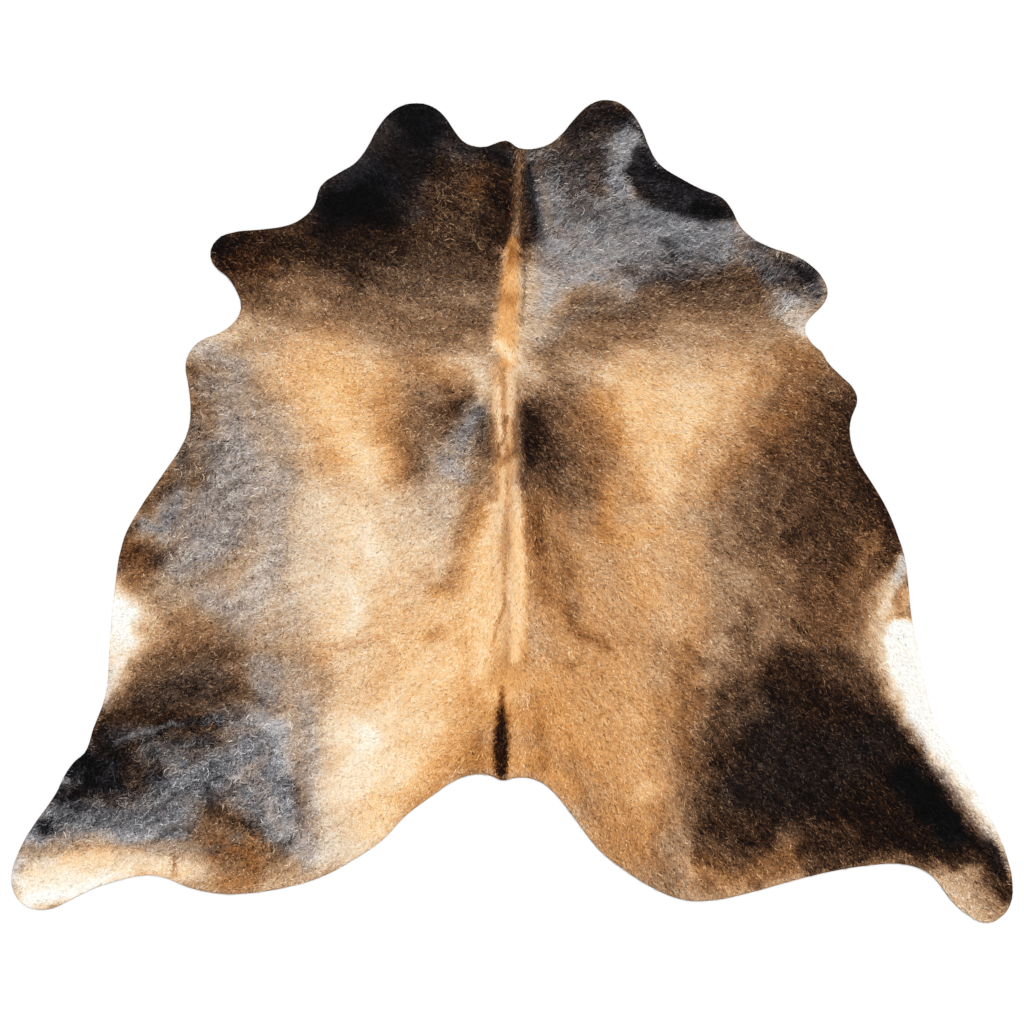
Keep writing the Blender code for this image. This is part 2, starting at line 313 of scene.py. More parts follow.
    ("hind edge warm", 4, 0.43, ((-85, -14.5, 1.6), (-80.5, -14.5, 2))),
    ("stifle white", 6, 0.99, ((-87.5, -18.8, 2.8), (-84.6, -23.6, 5), (-86.2, -29.5, 4))),
    ("stifle cream", 5, 0.92, ((-86.4, -31, 2.6), (-87.6, -35.6, 2.4), (-89.4, -40, 1))),
    ("stifle low cream", 4, 0.70, ((-83, -32, 1.2), (-84, -35, 1))),
    ("stifle low shade", 3, 0.40, ((-86.6, -41, 1.2),)),
    ("thigh tan", 7, 0.70, ((-79.6, -26, 1.6), (-77, -29, 1.8))),
    ("thigh tan top", 6, 0.58, ((-78, -20.5, 2),)),
    ("thigh brown", 7, 0.46, ((-73, -25, 3), (-64, -26, 2.4))),
    ("thigh brown low", 7, 0.32, ((-79, -36, 3), (-74, -32, 3.4), (-67, -32, 5), (-60, -30.5, 2))),
    ("thigh brown side", 6, 0.40, ((-81.6, -35, 1.8),)),
    ("thigh roan", 6, 0.58, ((-52.6, -32, 2.8), (-55, -36, 2.4))),
    ("thigh dark", 6, 0.20, ((-82, -42, 3), (-72, -40, 4), (-62, -38.5, 2.5))),
    ("thigh dark run", 4, 0.32, ((-58, -40.5, 1.6), (-52, -42, 0.6))),
    ("leg top roan", 5, 0.58, ((-52, -42, 1.6), (-46, -43.4, 1.6))),
    ("flank left dip", 4, 0.48, ((-62.4, 13, 1.4),)),
    ("flank left roan spot", 4, 0.64, ((-60, 2, 1.8),)),
    ("flank left brown spot", 4, 0.42, ((-74.6, -9, 1.4),)),
    ("flank left low spot", 4, 0.50, ((-59, -21, 1.5),)),
    ("flank left pale spot", 4, 0.54, ((-51.6, -32, 1.4),)),
    ("hock dark", 5, 0.13, ((-89, -46, 3), (-80, -46, 3.4), (-70, -46, 2.8))),
    ("hock brown", 4, 0.22, ((-65, -46, 2), (-61, -45, 1.4), (-70, -50, 2))),
    ("leg grey", 7, 0.48, ((-73, -57, 3), (-64, -53, 4), (-58, -47, 3), (-54, -56, 6))),
    ("leg grey light", 6, 0.67, ((-56, -44.8, 1.6), (-50, -48, 3), (-48.6, -56, 3))),
    ("leg arm dark", 4, 0.36, ((-61.6, -46.6, 1.6),)),
    ("leg arm grey", 3.4, 0.56, ((-65.4, -49.6, 1.1),)),
    ("leg grey low", 6, 0.60, ((-48, -66, 2.6), (-50, -72, 2))),
    ("leg grey brown", 5, 0.36, ((-64.4, -54, 2), (-71, -55.6, 2.6), (-55.6, -55, 1))),
    ("leg grey heart", 5, 0.60, ((-58.6, -57, 2.4),)),
    ("hock lower", 5, 0.19, ((-84, -51.5, 2), (-75, -50.4, 1.8), (-66, -49, 1.4))),
    ("hock upper", 5, 0.19, ((-86.6, -47.4, 1.8), (-80, -47.4, 1.2))),
    ("leg arm low", 3, 0.38, ((-77, -50.6, 0.8),)),
    ("leg black", 4, 0.05, ((-95, -53.5, 2), (-91, -56, 3.6), (-93, -61, 2.6), (-98, -63.5, 2))),
    ("leg black inner", 4, 0.09, ((-90, -49.5, 2.6), (-84, -56, 3), (-88.6, -61, 2.8))),
    ("leg black fade", 5, 0.15, ((-79, -57, 3), (-82, -61, 1.6))),
    ("leg shade low", 4, 0.28, ((-93, -65, 1.4), (-86, -65, 1.6))),
    ("leg light hairs", 1.4, 0.38, (
        (-87, -51, 0.4), (-83, -49.2, 0.5), (-78, -47.9, 0.6), (-73, -47, 0.4),
    )),
    ("leg rim black", 3, 0.06, ((-96, -57, 2.1), (-100.8, -62, 1))),
    ("leg edge hairs", 1.8, 0.46, ((-98.2, -59.2, 1.1),)),
    ("leg rim hairs low", 1.6, 0.34, ((-100.4, -60.4, 0.7),)),
    ("cannon grey", 4, 0.42, ((-92, -68, 1.8), (-82, -67, 3), (-75, -66, 3))),
    ("cannon grey light", 4, 0.62, ((-103, -73, 1.8), (-96, -73, 1.8), (-90, -72, 1.4))),
    ("cannon dark", 2.2, 0.14, ((-103, -69, 1.4), (-99, -66.5, 1), (-95.5, -66.3, 1.1))),
    ("cannon light", 2, 0.40, ((-101.5, -67.6, 0.9), (-98, -65.6, 0.8))),
    ("cannon rim light", 3, 0.74, ((-106.5, -72, 1.4),)),
    ("hind mottle one", 3.5, 0.22, (
        (-67, -60.5, 1), (-65.5, -65, 2.2), (-60.5, -68, 1.8), (-55.5, -71, 1),
    )),
    ("hind mottle two", 4, 0.38, ((-47.4, -60.5, 1.3), (-46.8, -67, 1.4))),
    ("hind shade low", 4, 0.35, ((-77, -71, 1.4), (-65, -70, 1.6))),
    ("hind grey run", 4, 0.62, ((-53, -63.5, 1.4), (-52.4, -68, 1.2))),
    ("hind rust", 6, 0.36, ((-63, -75.5, 3.6), (-56, -76, 3.4))),
    ("hind rust low", 4, 0.63, ((-68, -76.5, 2), (-66.6, -79.5, 1.8))),
    ("hind rust foot", 4, 0.50, ((-62, -81.5, 2.4),)),
    ("hind grey low", 5, 0.62, ((-51, -77, 2), (-45, -72, 2), (-47, -79, 1.6))),
    ("hind grey spots", 3, 0.42, ((-52, -76, 2), (-49.5, -72.4, 1.2))),
    ("hind pale edge", 3, 0.68, ((-54, -82.5, 1.6), (-46, -80.5, 1.6))),
    ("hoof ground", 4, 0.86, ((-109, -79, 3), (-93, -77, 2.4), (-80, -77, 2.6), (-70, -79, 2.4))),
    ("hoof cream", 4, 0.93, ((-105, -83.5, 4.5), (-95, -81, 2.8), (-84, -79.6, 1.8))),
    ("hoof cream end", 3, 0.82, ((-70.5, -78.5, 1.9),)),
    ("hoof rim low", 3, 0.98, ((-106, -86, 1.8), (-98, -83.8, 1.4), (-89, -80.6, 0.9))),
    ("hoof rim", 4, 0.74, ((-108, -77.6, 2),)),
    # painted shade: a darker line along a crease in the hide above the hoof
    ("hoof crease shade", 1.6, 0.55, ((-74, -74.6, 0.7), (-74, -79, 0.6))),
    # spine
    ("spine upper foot", 2, 0.48, ((1, 62, 0.8),)),
    ("spine left grey", 2, 0.50, ((-2.8, 57.5, 0.9),)),
    ("spine left edge", 2, 0.56, ((-4.6, 40, 0.7), (-4.9, 37.6, 0.4))),
    ("spine right light", 2, 0.68, ((2, 50, 0.7), (2.6, 45.5, 0.8), (2.2, 38, 0.9), (1.8, 32, 0.6))),
    ("spine orange", 1.2, 0.57, (
        (0.3, 60, 0.8), (0.1, 57.5, 2), (-0.1, 54, 2.4), (-0.2, 50, 2.6), (-0.5, 46, 2.9),
        (-1.1, 42, 3.1), (-1.2, 38, 3),
    )),
    ("spine orange light", 2, 0.76, ((0.5, 52, 1.6), (1.2, 49.8, 1.4), (1.6, 45, 0.9))),
    ("spine orange dark", 1.8, 0.57, ((-1, 47.6, 0.9), (1.2, 47.4, 0.6), (-0.6, 45, 0.8))),
    ("spine orange top", 1.4, 0.42, ((1.4, 56.2, 0.8), (-0.2, 57.6, 0.7), (-0.4, 55.2, 0.4))),
    ("spine orange top light", 1.2, 0.68, ((-1.3, 57.6, 0.5), (-1.4, 53, 0.4))),
    ("spine pink", 2.4, 0.71, ((-1.2, 43, 2.4), (-1.2, 39.5, 2.6))),
    ("spine cream", 2.6, 0.89, ((-3, 37, 1.3), (-1.6, 35.8, 1.5), (-0.4, 34, 1.4), (-0.3, 31, 0.7))),
    ("spine middle", 1.6, 0.69, (
        (-2, 31, 2.3), (-2, 25, 2.4), (-1.9, 20, 2.4), (-1.6, 15, 2.3), (-1.4, 10, 2.5),
    )),
    ("spine middle shade", 1.8, 0.53, ((-0.5, 19.2, 1), (-0.6, 12, 1.4))),
    ("spine middle light", 1.8, 0.84, (
        (-3.2, 27, 0.9), (-3, 23, 0.9), (-2.7, 19, 0.6), (-2.4, 16, 0.6), (-2.2, 11, 0.5),
    )),
    ("spine middle light right", 1.8, 0.82, (
        (-0.3, 30.5, 0.9), (-0.2, 26, 0.8), (-0.3, 22, 0.7), (-0.5, 18, 0.5), (0.4, 9, 0.3),
    )),
    ("spine left notch", 1.8, 0.42, ((-4.2, 19.6, 0.5), (-3.9, 14, 0.5), (-3.6, 11.4, 0.4))),
    ("spine knot shade", 1.8, 0.58, ((-3.9, 33.2, 0.8),)),
    ("spine core brown", 1.2, 0.55, ((-1.9, 31.5, 0.4), (-1.8, 28, 0.3), (-1.7, 23, 0.2))),
    ("spine dark core", 1.2, 0.36, (
        (-1.6, 20.8, 0.5), (-1.5, 16, 0.4), (-2.8, 14.5, 0.35), (-2.7, 12, 0.3),
    )),
    ("spine dark right", 1.4, 0.45, ((0.2, 20, 0.4), (0.4, 15, 0.3), (0, 12.5, 0.7))),
    ("spine cross marks", 0.8, 0.40, ((-2.7, 12.7, 0.35), (-3.2, 11.6, 0.2))),
    ("spine cross marks right", 0.8, 0.44, ((0.4, 12.6, 0.5), (1.2, 13.6, 0.3))),
    ("spine left brown", 2, 0.36, ((-4.9, 21, 0.6), (-5.3, 14, 0.8))),
    ("spine middle low", 2.4, 0.68, ((-1.4, 9, 2), (-1, 4, 2.4))),
    ("spine cream line", 1, 0.82, ((-1.9, 10, 0.3), (-1.8, 5, 0.5), (-2.4, 1, 0.8))),
    ("spine low", 3, 0.81, (
        (-1.4, 1, 1.8), (-2.6, -3, 3.2), (-3.4, -8, 4.4), (-4, -13, 5), (-3.6, -19, 5.4),
    )),
    ("spine left shade", 1.8, 0.62, (
        (-0.9, 2, 0.3), (-1.1, -2, 0.6), (-1.5, -7.5, 1.3), (-1.5, -11, 0.8), (-1.6, -14, 0.5),
        (-1.8, -18, 0.3),
    )),
    ("spine left shade low", 3, 0.78, ((-2.4, -26, 0.9), (-2.6, -30, 0.5))),
    ("spine thin line", 1, 0.48, (
        (-1.6, -18, 0.2), (-1.6, -21, 0.4), (-3.4, -24.6, 0.2), (-4, -29, 0.1),
    )),
    ("spine thin line right", 1.4, 0.68, ((-0.8, -20.5, 0.5), (-0.7, -25, 0.2))),
    ("spine foot shade", 3, 0.66, ((-3, -36, 0.4), (-2, -40, 0.6))),
    ("tail stripe fade", 1.6, 0.28, (
        (-2, -38.5, 0.3), (-2.2, -41.5, 0.5), (-2.3, -45, 1.3), (-2.5, -52, 1.7), (-2.4, -59, 1.3),
    )),
    ("tail stripe", 1.2, 0.08, (
        (-2.3, -43.4, 0.7), (-2.3, -48, 1.4), (-2.4, -53.6, 1.4), (-2.5, -57, 1.1),
    )),
    # right neck
    ("right lobe ground", 8, 0.27, ((13, 78, 6), (17, 76, 5))),
    ("right lobe", 5, 0.12, ((20.5, 87.8, 4.6), (15, 84, 3.5), (25, 88, 3))),
    ("right lobe low", 3, 0.17, ((14, 82.6, 1.4), (20, 83, 1.6), (22.4, 84, 1))),
    ("right neck brown", 4, 0.19, ((17.5, 76.4, 2.4), (17.6, 74, 1.8))),
    ("right neck light", 3, 0.54, ((25.2, 81.4, 1.7), (23.4, 77, 1.6), (24, 72, 1.4), (25.4, 69, 1.6))),
    ("right lobe edge", 2.4, 0.13, (
        (16, 84, 1), (19.5, 84.6, 1.8), (24.4, 85.8, 1.6), (28.6, 84, 0.7), (29.6, 81.6, 0.5),
    )),
    ("right neck mix", 5, 0.30, ((13, 74, 3), (18, 71.5, 2))),
    ("right neck mix low", 5, 0.37, ((14.5, 66.8, 2.2), (18.5, 63.8, 2))),
    ("right neck mix two", 4, 0.40, ((21, 71.6, 1.2), (21.4, 69, 1.3))),
    ("right neck strip", 3, 0.50, ((7, 72.5, 0.8), (7.8, 69, 1.6), (9.6, 65, 1.5), (10, 60, 1.6))),
    ("right neck strip top", 2.4, 0.33, ((3.4, 76, 0.9), (5, 73, 0.8), (9.4, 77, 1))),
    ("right neck roan", 6, 0.50, (
        (10, 57.5, 3), (18, 57, 4), (30, 61, 3), (44, 60, 2.4), (51, 60.2, 1.6),
    )),
    ("right neck dull", 5, 0.41, ((43.6, 62, 1.6),)),
    ("withers smooth", 5, 0.58, ((9, 57, 2.4), (18, 56.5, 3.4), (22, 58, 2))),
    ("right neck roan low", 5, 0.62, ((11, 51, 2.4), (18, 50, 3))),
    ("black strip", 1.6, 0.15, ((3.6, 75.4, 0.7), (3.8, 70, 1.1), (4.3, 66, 1.4), (4.4, 62.5, 1.7))),
    ("right neck top dark", 2, 0.22, ((5, 79.2, 0.8), (8.2, 80.2, 0.5))),
    ("black strip left", 2.4, 0.11, ((-2, 79, 1.6), (-1.8, 70, 1.7), (-2.4, 63, 1.9), (-2.8, 59, 1.4))),
    ("spine upper", 1.4, 0.37, (
        (2, 79.5, 1), (1.6, 76, 0.8), (1.4, 70, 0.7), (1.1, 64, 0.7), (0.8, 60.5, 0.7),
    )),
    ("black patch", 2, 0.14, (
        (29, 78.6, 2.8), (27.8, 75.6, 2.9), (30.2, 71.8, 3.3), (35.6, 69.7, 4.2), (44, 67.2, 3.7),
        (48.6, 65.8, 1.9),
    )),
    ("black patch rim", 2, 0.09, ((31.5, 75.5, 1.6), (38, 72.5, 2))),
    ("black patch corner", 2, 0.11, ((46.4, 68.4, 1.3),)),
    ("black patch heart", 3, 0.045, ((40, 67.5, 1.6), (44, 66.2, 1.8))),
    ("withers grey", 4, 0.46, ((5.4, 57, 1.8),)),
    ("neck mottle one", 3, 0.31, (
        (34.4, 59.4, 1.3), (36, 55.5, 1.9), (43.6, 55.4, 1.1), (45.6, 53.6, 1.2),
    )),
    ("neck mottle two", 3, 0.40, ((39, 55.5, 1.4), (43, 53.5, 1.4))),
    # right shoulder
    ("shoulder dark", 6, 0.26, ((31, 50.5, 2), (39, 51, 2.6), (48, 50.5, 3.2), (54, 50, 3))),
    ("shoulder dark low", 5, 0.33, ((33, 47, 1.5), (52, 46.5, 2.4))),
    ("shoulder dark edge", 4, 0.34, ((26, 52, 1.8), (29, 48.5, 1.8))),
    ("shoulder spot", 3, 0.60, ((24.6, 48.6, 2.4),)),
    ("shoulder mid", 6, 0.39, ((17, 43, 3), (27, 41.5, 2.4))),
    ("shoulder mid light", 6, 0.56, ((36, 41.5, 2.2), (43, 40, 3))),
    ("withers blend", 5, 0.62, ((9.5, 52, 2), (10.5, 47.5, 2))),
    ("withers pale", 5, 0.72, ((5, 53, 2.4), (6.6, 47, 4), (5.4, 40, 3), (4.4, 31.5, 2.2))),
    ("withers pale inner", 3, 0.79, ((3.9, 53, 0.7), (3.9, 45, 0.8))),
    ("spine orange edge", 0.6, 0.46, ((2.5, 57, 0.25), (2.7, 50, 0.2), (2.4, 44, 0.15), (2, 38, 0.1))),
    ("spine red spot", 1, 0.20, ((2.2, 56.2, 0.4),)),
    ("foreleg brown", 3.5, 0.25, ((53.6, 57.8, 2.2), (57.4, 55.4, 1.8))),
    ("foreleg light", 2.4, 0.46, ((50.6, 56, 1.4), (54.4, 54, 1.3), (57.6, 56.8, 0.6))),
    ("foreleg black", 2.6, 0.11, ((59.6, 54.4, 1), (61, 53.6, 2), (65.4, 52.8, 2.4))),
    ("foreleg grey", 4, 0.52, ((57.6, 49, 1.8), (63.6, 47.6, 2.2), (67, 45.8, 1.2))),
    ("foreleg rim dark", 2.4, 0.28, ((68.4, 47.5, 1),)),
    ("foreleg low dark", 3.5, 0.24, ((57.5, 51.5, 1.4), (66.5, 49, 1.6))),
    ("foreleg pale", 4, 0.69, ((59.6, 44.6, 2.2), (62.6, 43, 2.8), (63.8, 40, 1.8))),
    ("foreleg palest", 3, 0.86, ((64.2, 39.6, 1.5),)),
    # right golden side
    ("side blend", 6, 0.46, ((8, 34, 3), (10, 36.5, 3), (24, 38, 2.4), (36, 38, 2), (50, 39, 2))),
    ("back light right", 4, 0.70, ((4.4, 31.4, 1.8),)),
    ("side blend light", 5, 0.62, ((33, 38.6, 1.4), (40, 39, 2.2), (47, 37.6, 1.4))),
    ("side gold", 7, 0.75, ((25, 31, 3.6), (38, 31.5, 4.5), (48, 31.5, 3))),
    ("side gold left", 4, 0.78, ((21.5, 29.6, 1.8), (26, 27, 2), (27, 13, 2))),
    ("side gold bright", 7, 0.84, ((29, 25, 4), (42, 25, 5), (38, 19, 5), (32, 20, 4))),
    ("side gold upper right", 7, 0.76, ((47, 25, 3.4),)),
    ("side gold low", 6, 0.82, ((32, 13, 4), (33, 7, 3.6), (30, 0, 3))),
    ("side gold far", 6, 0.77, ((48.4, 27.5, 3), (46.6, 20, 2.4))),
    ("side gold mid", 7, 0.72, ((43.6, 14, 2.6), (41, 6, 2.4))),
    ("barrel top fade", 6, 0.60, ((20, 2.5, 2.4), (29, 2, 2))),
    ("side gold dab", 3, 0.66, ((43, 31.5, 1.3),)),
    ("flank brown top", 6, 0.42, ((60, 35, 2), (64, 31, 3), (62, 25, 2))),
    ("flank brown edge", 5, 0.36, ((71, 29, 2.4), (67, 26, 2))),
    ("flank dark upper", 8, 0.25, ((69, 21, 4), (63, 13, 4))),
    ("flank mid", 8, 0.29, ((61, 22, 2), (57, 13, 3), (56, 4, 3.6), (55, -8, 2.6))),
    ("flank mid upper", 5, 0.54, ((53.5, 20, 1.6),)),
    ("flank mid line", 4, 0.42, ((60.4, 31, 1.6), (57.6, 23.5, 1.4), (53.4, 16, 1.6))),
    ("barrel grey top", 7, 0.38, ((49.6, 9, 2.8), (50.6, 0, 3), (51.6, -6, 2.6), (57, -12, 2))),
    ("flank edge dark", 5, 0.14, ((74.5, 22, 1.4), (73, 14, 2), (78, 6, 2.6), (83, -4, 2))),
    ("flank dark dabs", 5, 0.16, ((66, -2, 2), (61, -6.5, 2))),
    ("flank dark dabs upper", 4, 0.20, ((61.6, 5.4, 1.6), (60.6, 0, 1.4))),
    ("flank brown low", 6, 0.42, ((77, -13.5, 2.4), (79, -7, 1.4))),
    # right of the spine
    ("back right ground", 9, 0.41, ((12, 24, 4), (16, 14, 6), (13, 4, 6))),
    ("back right dark", 7, 0.22, ((6, 22, 3), (8, 15, 4), (8, 8, 3))),
    ("back right black", 4, 0.11, ((3.4, 22, 1.8), (4.2, 17, 2.8), (4, 11, 2), (3.4, 6.6, 1.2))),
    ("back right edge", 3, 0.38, ((4.4, 6.4, 2), (5.4, -1, 2.2), (6, -8, 2.4))),
    ("loin right brown", 5, 0.47, ((6.4, -13, 2.2), (7.4, -19, 1.8))),
    ("loin right low", 6, 0.60, ((8.5, -26, 2),)),
    ("loin right run", 6, 0.42, (
        (10.5, -7, 1.8), (12, -17, 2.2), (13, -24, 1.8), (15.5, -26.5, 1.8), (20, -29.5, 0.8),
    )),
    ("loin right fade", 6, 0.51, ((12, -2, 2), (20, -3, 1.8))),
    ("spine right band", 2, 0.83, (
        (0.9, 5, 0.7), (1.2, 0, 1), (1.5, -6, 1.1), (1.7, -12, 1.3), (1.7, -17, 1.4), (1.5, -22, 1.5),
        (1, -27, 1.6), (0.8, -32, 1.2),
    )),
    ("barrel right", 8, 0.72, ((30, -4, 5), (32, -15, 5), (34, -22, 3.6))),
    ("barrel right dab", 5, 0.44, ((44.4, 8, 1.6), (45, -8, 2), (51, -12, 1.2))),
    ("barrel right light", 6, 0.56, ((44.4, 0.6, 2.2),)),
    ("barrel right line", 3, 0.61, ((22, -27.5, 0.5), (28, -29, 0.6))),
    ("barrel right line end", 4, 0.50, ((31, -30, 1), (36, -32.5, 1))),
    ("croup dab", 3, 0.47, ((14, -33, 1.2),)),
    ("croup shade", 6, 0.50, ((6, -41, 1), (7, -56, 1.8))),
    ("croup light", 6, 0.69, ((26, -46, 3.6), (28, -54, 3))),
    ("croup light low", 5, 0.76, ((29.5, -61, 2.2),)),
    ("croup low shade", 8, 0.56, ((13, -54, 3), (18, -64, 3), (25, -74, 3.6))),
    # right barrel and thigh
    ("barrel grey", 7, 0.52, ((47, -14, 2.6), (47, -20, 2.6), (43, -27, 2))),
    ("barrel grey dark", 5, 0.36, ((51.5, -21, 1.8), (51.4, -30, 2.6))),
    ("barrel grey dab", 4, 0.42, ((42, -33, 1.8), (37.6, -29.4, 1.2))),
    ("barrel grey spots", 3.5, 0.36, ((48.5, -26, 1.4),)),
    ("barrel grey spots low", 3.5, 0.42, ((46.2, -33, 1.2), (43, -33.6, 0.8))),
    ("barrel brown", 7, 0.44, ((56, -19, 4), (60, -22, 3.6))),
    ("barrel brown dark", 7, 0.30, ((67, -16, 3), (63, -25, 2.4), (70, -26, 3))),
    ("barrel brown inner", 6, 0.42, ((74, -17, 2.4), (75.4, -24, 2))),
    ("barrel right pale spot", 4, 0.62, ((13.4, -16.6, 1.4),)),
    ("thigh right top", 6, 0.19, ((60, -31, 2.2), (73, -32.5, 2.6))),
    ("thigh right fore shade", 6, 0.56, ((32.6, -41, 1.6), (33, -50, 1.6), (33, -58, 1.4))),
    ("thigh right fore", 7, 0.37, (
        (38, -35, 1.5), (38.6, -43, 2.2), (38.2, -54, 1.9), (37.4, -61.5, 1.7),
    )),
    ("hind right fore run", 6, 0.29, ((40.4, -57, 1.4), (40, -69, 1.6), (39.2, -75, 0.8))),
    ("rump right rim", 3, 0.42, ((36, -84.6, 1.2),)),
    ("stifle tan", 5, 0.57, ((82, -14.5, 0.8), (79.6, -19.5, 1.6), (79.4, -26, 2), (78.6, -31, 1.2))),
    ("stifle brown", 4, 0.32, ((79.5, -6.6, 1.6),)),
    ("thigh right dark", 9, 0.10, (
        (61, -38, 5), (74, -44, 7), (80, -56, 7), (62, -56, 12), (56, -64, 9), (88, -68, 5),
    )),
    ("thigh right brown", 7, 0.26, ((77, -37, 3), (70, -35, 2.4))),
    ("thigh right inner", 7, 0.22, ((48, -38, 2.6), (45, -44, 2.9), (44.4, -52, 2.5))),
    ("thigh right spot", 4, 0.16, ((50.5, -42.5, 1.8),)),
    ("thigh right spot two", 3.5, 0.36, ((41, -40.6, 1.5),)),
    ("thigh right low", 5, 0.17, ((47, -56, 3), (45, -66, 3.6), (52, -70, 3))),
    ("thigh right grey", 5, 0.13, ((57, -35, 2), (66, -37, 2.4))),
    ("leg right black", 5, 0.01, (
        (86, -58, 3.6), (90.4, -62, 4), (92.6, -66, 4.8), (97.6, -71, 4), (102, -74.4, 2.4),
    )),
    ("leg rim heart", 2.6, 0.08, ((91, -56.4, 0.9),)),
    ("leg right run", 5, 0.07, ((74, -68, 4), (88, -71, 4), (104, -74.6, 2.8))),
    ("hind right mid", 6, 0.19, ((66, -70, 2), (73, -70.5, 2))),
    ("hind right front", 5, 0.22, ((42, -74.5, 1.8), (53, -75.5, 1.6))),
    ("hind right fore low", 5, 0.16, ((44.2, -69.4, 3.2), (41.4, -70.4, 1.4))),
    ("hind right rust", 6, 0.40, ((60, -71.6, 2.4), (58, -77, 3))),
    ("hind right edge", 3, 0.22, ((66, -77.8, 1.6), (74, -77, 1.4), (80, -76, 0.8))),
    ("hind right edge far", 3, 0.34, ((85, -77.4, 1), (91, -79, 1.2))),
    ("foot top dark", 3, 0.13, ((97, -77, 0.8), (101, -76, 1.3))),
    ("hind right lobe", 8, 0.53, ((25, -72, 2.4), (28, -79, 2.4))),
    ("hind right grey", 6, 0.50, ((33, -67, 3), (34, -75, 3.4), (31.5, -81, 1.6))),
    ("hind right grey low", 4, 0.44, ((35, -82, 1.6),)),
    ("hind right low", 5, 0.44, ((42, -82, 1.6), (49, -81, 1.6))),
    ("hind right low dark", 4, 0.33, ((54, -82, 1.6),)),
    ("hind right base", 5, 0.27, ((41, -76.2, 1.4), (45, -77, 1.9), (51, -78.4, 1.6))),
    ("hind right light", 3, 0.50, ((44, -84, 1.2),)),
    ("thigh right low tan", 2.5, 0.32, ((84, -76.4, 0.9), (89.4, -76.6, 1))),
    ("foot tan", 4, 0.72, ((95, -81, 2.4), (98.5, -85, 3), (102.5, -88.4, 2.2))),
    ("foot mark", 1.5, 0.40, ((94.6, -79, 0.6),)),
    ("foot brown", 4, 0.17, ((102.4, -77.4, 1.4), (105.6, -81, 2), (108, -85, 2))),
    ("foot edge", 3, 0.09, ((105, -76, 2), (107.6, -80.4, 1.8), (108.8, -84.4, 1.3))),
    ("foot low", 3, 0.56, ((102.4, -83.6, 1), (107, -88, 1))),
    # white edge, right
    ("edge ground", 3, 0.83, ((85.2, -10.5, 1.4), (84, -14, 1.6), (82.8, -18.5, 1.7), (82.4, -22, 2))),
    ("edge grey white", 3, 0.78, ((85.8, -11.4, 1.6), (85.2, -14.4, 1.5))),
    ("edge tan", 2, 0.70, ((86.6, -17.2, 1.2), (86.4, -21.4, 1.3))),
    ("edge blend", 5, 0.78, ((81.2, -26, 2.8), (81.2, -33, 2), (83.4, -38.4, 1.6))),
    ("edge blend low", 5, 0.66, (
        (83.6, -40, 1.3), (86.6, -45.4, 0.9), (90.8, -51.4, 0.8), (96, -58.4, 0.8), (100.4, -65, 0.6),
    )),
    ("edge white top", 2, 0.99, ((84.6, -26.6, 2.5), (86.4, -28.7, 5), (87.2, -32, 4.7))),
    ("edge white", 4.4, 0.99, (
        (87.8, -32, 5.2), (89.3, -37, 5.8), (91.6, -43, 6.4), (95.5, -49.3, 6), (100.7, -56.1, 5.4),
        (104.9, -62.7, 4.7), (108.1, -68.5, 3.4), (109.2, -72.2, 2.1),
    )),
    ("cream beside spine", 3, 0.85, ((-7.2, 31, 1), (-6.8, 27, 0.8), (-6.8, 24.4, 0.5))),
    ("cream left of knot", 4, 0.74, ((-5, 34, 0.8), (-4.6, 31.4, 0.8))),
    ("cream right of knot", 3, 0.82, ((2.2, 40.4, 0.5), (1.2, 37.4, 0.8), (1.6, 31, 0.9))),
    ("back left shade", 5, 0.30, ((-17, 20.2, 1.1), (-12, 21.8, 1))),
    ("back left shade low", 4, 0.40, ((-13.4, 18, 0.9), (-10, 16, 1.1))),
    ("back right brow", 4, 0.40, ((8.4, 28.4, 0.7), (11.6, 28, 0.9))),
    ("spine pale core", 1.6, 0.78, ((-1, 18.6, 0.4), (-1, 15.4, 0.4))),
    ("spine band", 2.4, 0.48, ((-3, 10.8, 0.7), (-0.6, 12, 0.5))),
    ("loin right brown dab", 6, 0.32, ((14.6, 7, 1.4),)),
    ("loin right dark dab", 3, 0.24, ((5, 6.6, 0.8), (3.6, 8, 0.6))),
    ("spine top light", 3, 0.80, ((-1, 50.6, 0.6), (-0.6, 48.6, 0.4))),
    ("spine left white", 2, 0.84, ((-3.4, 1.6, 0.7), (-5.2, 1, 0.7))),
)

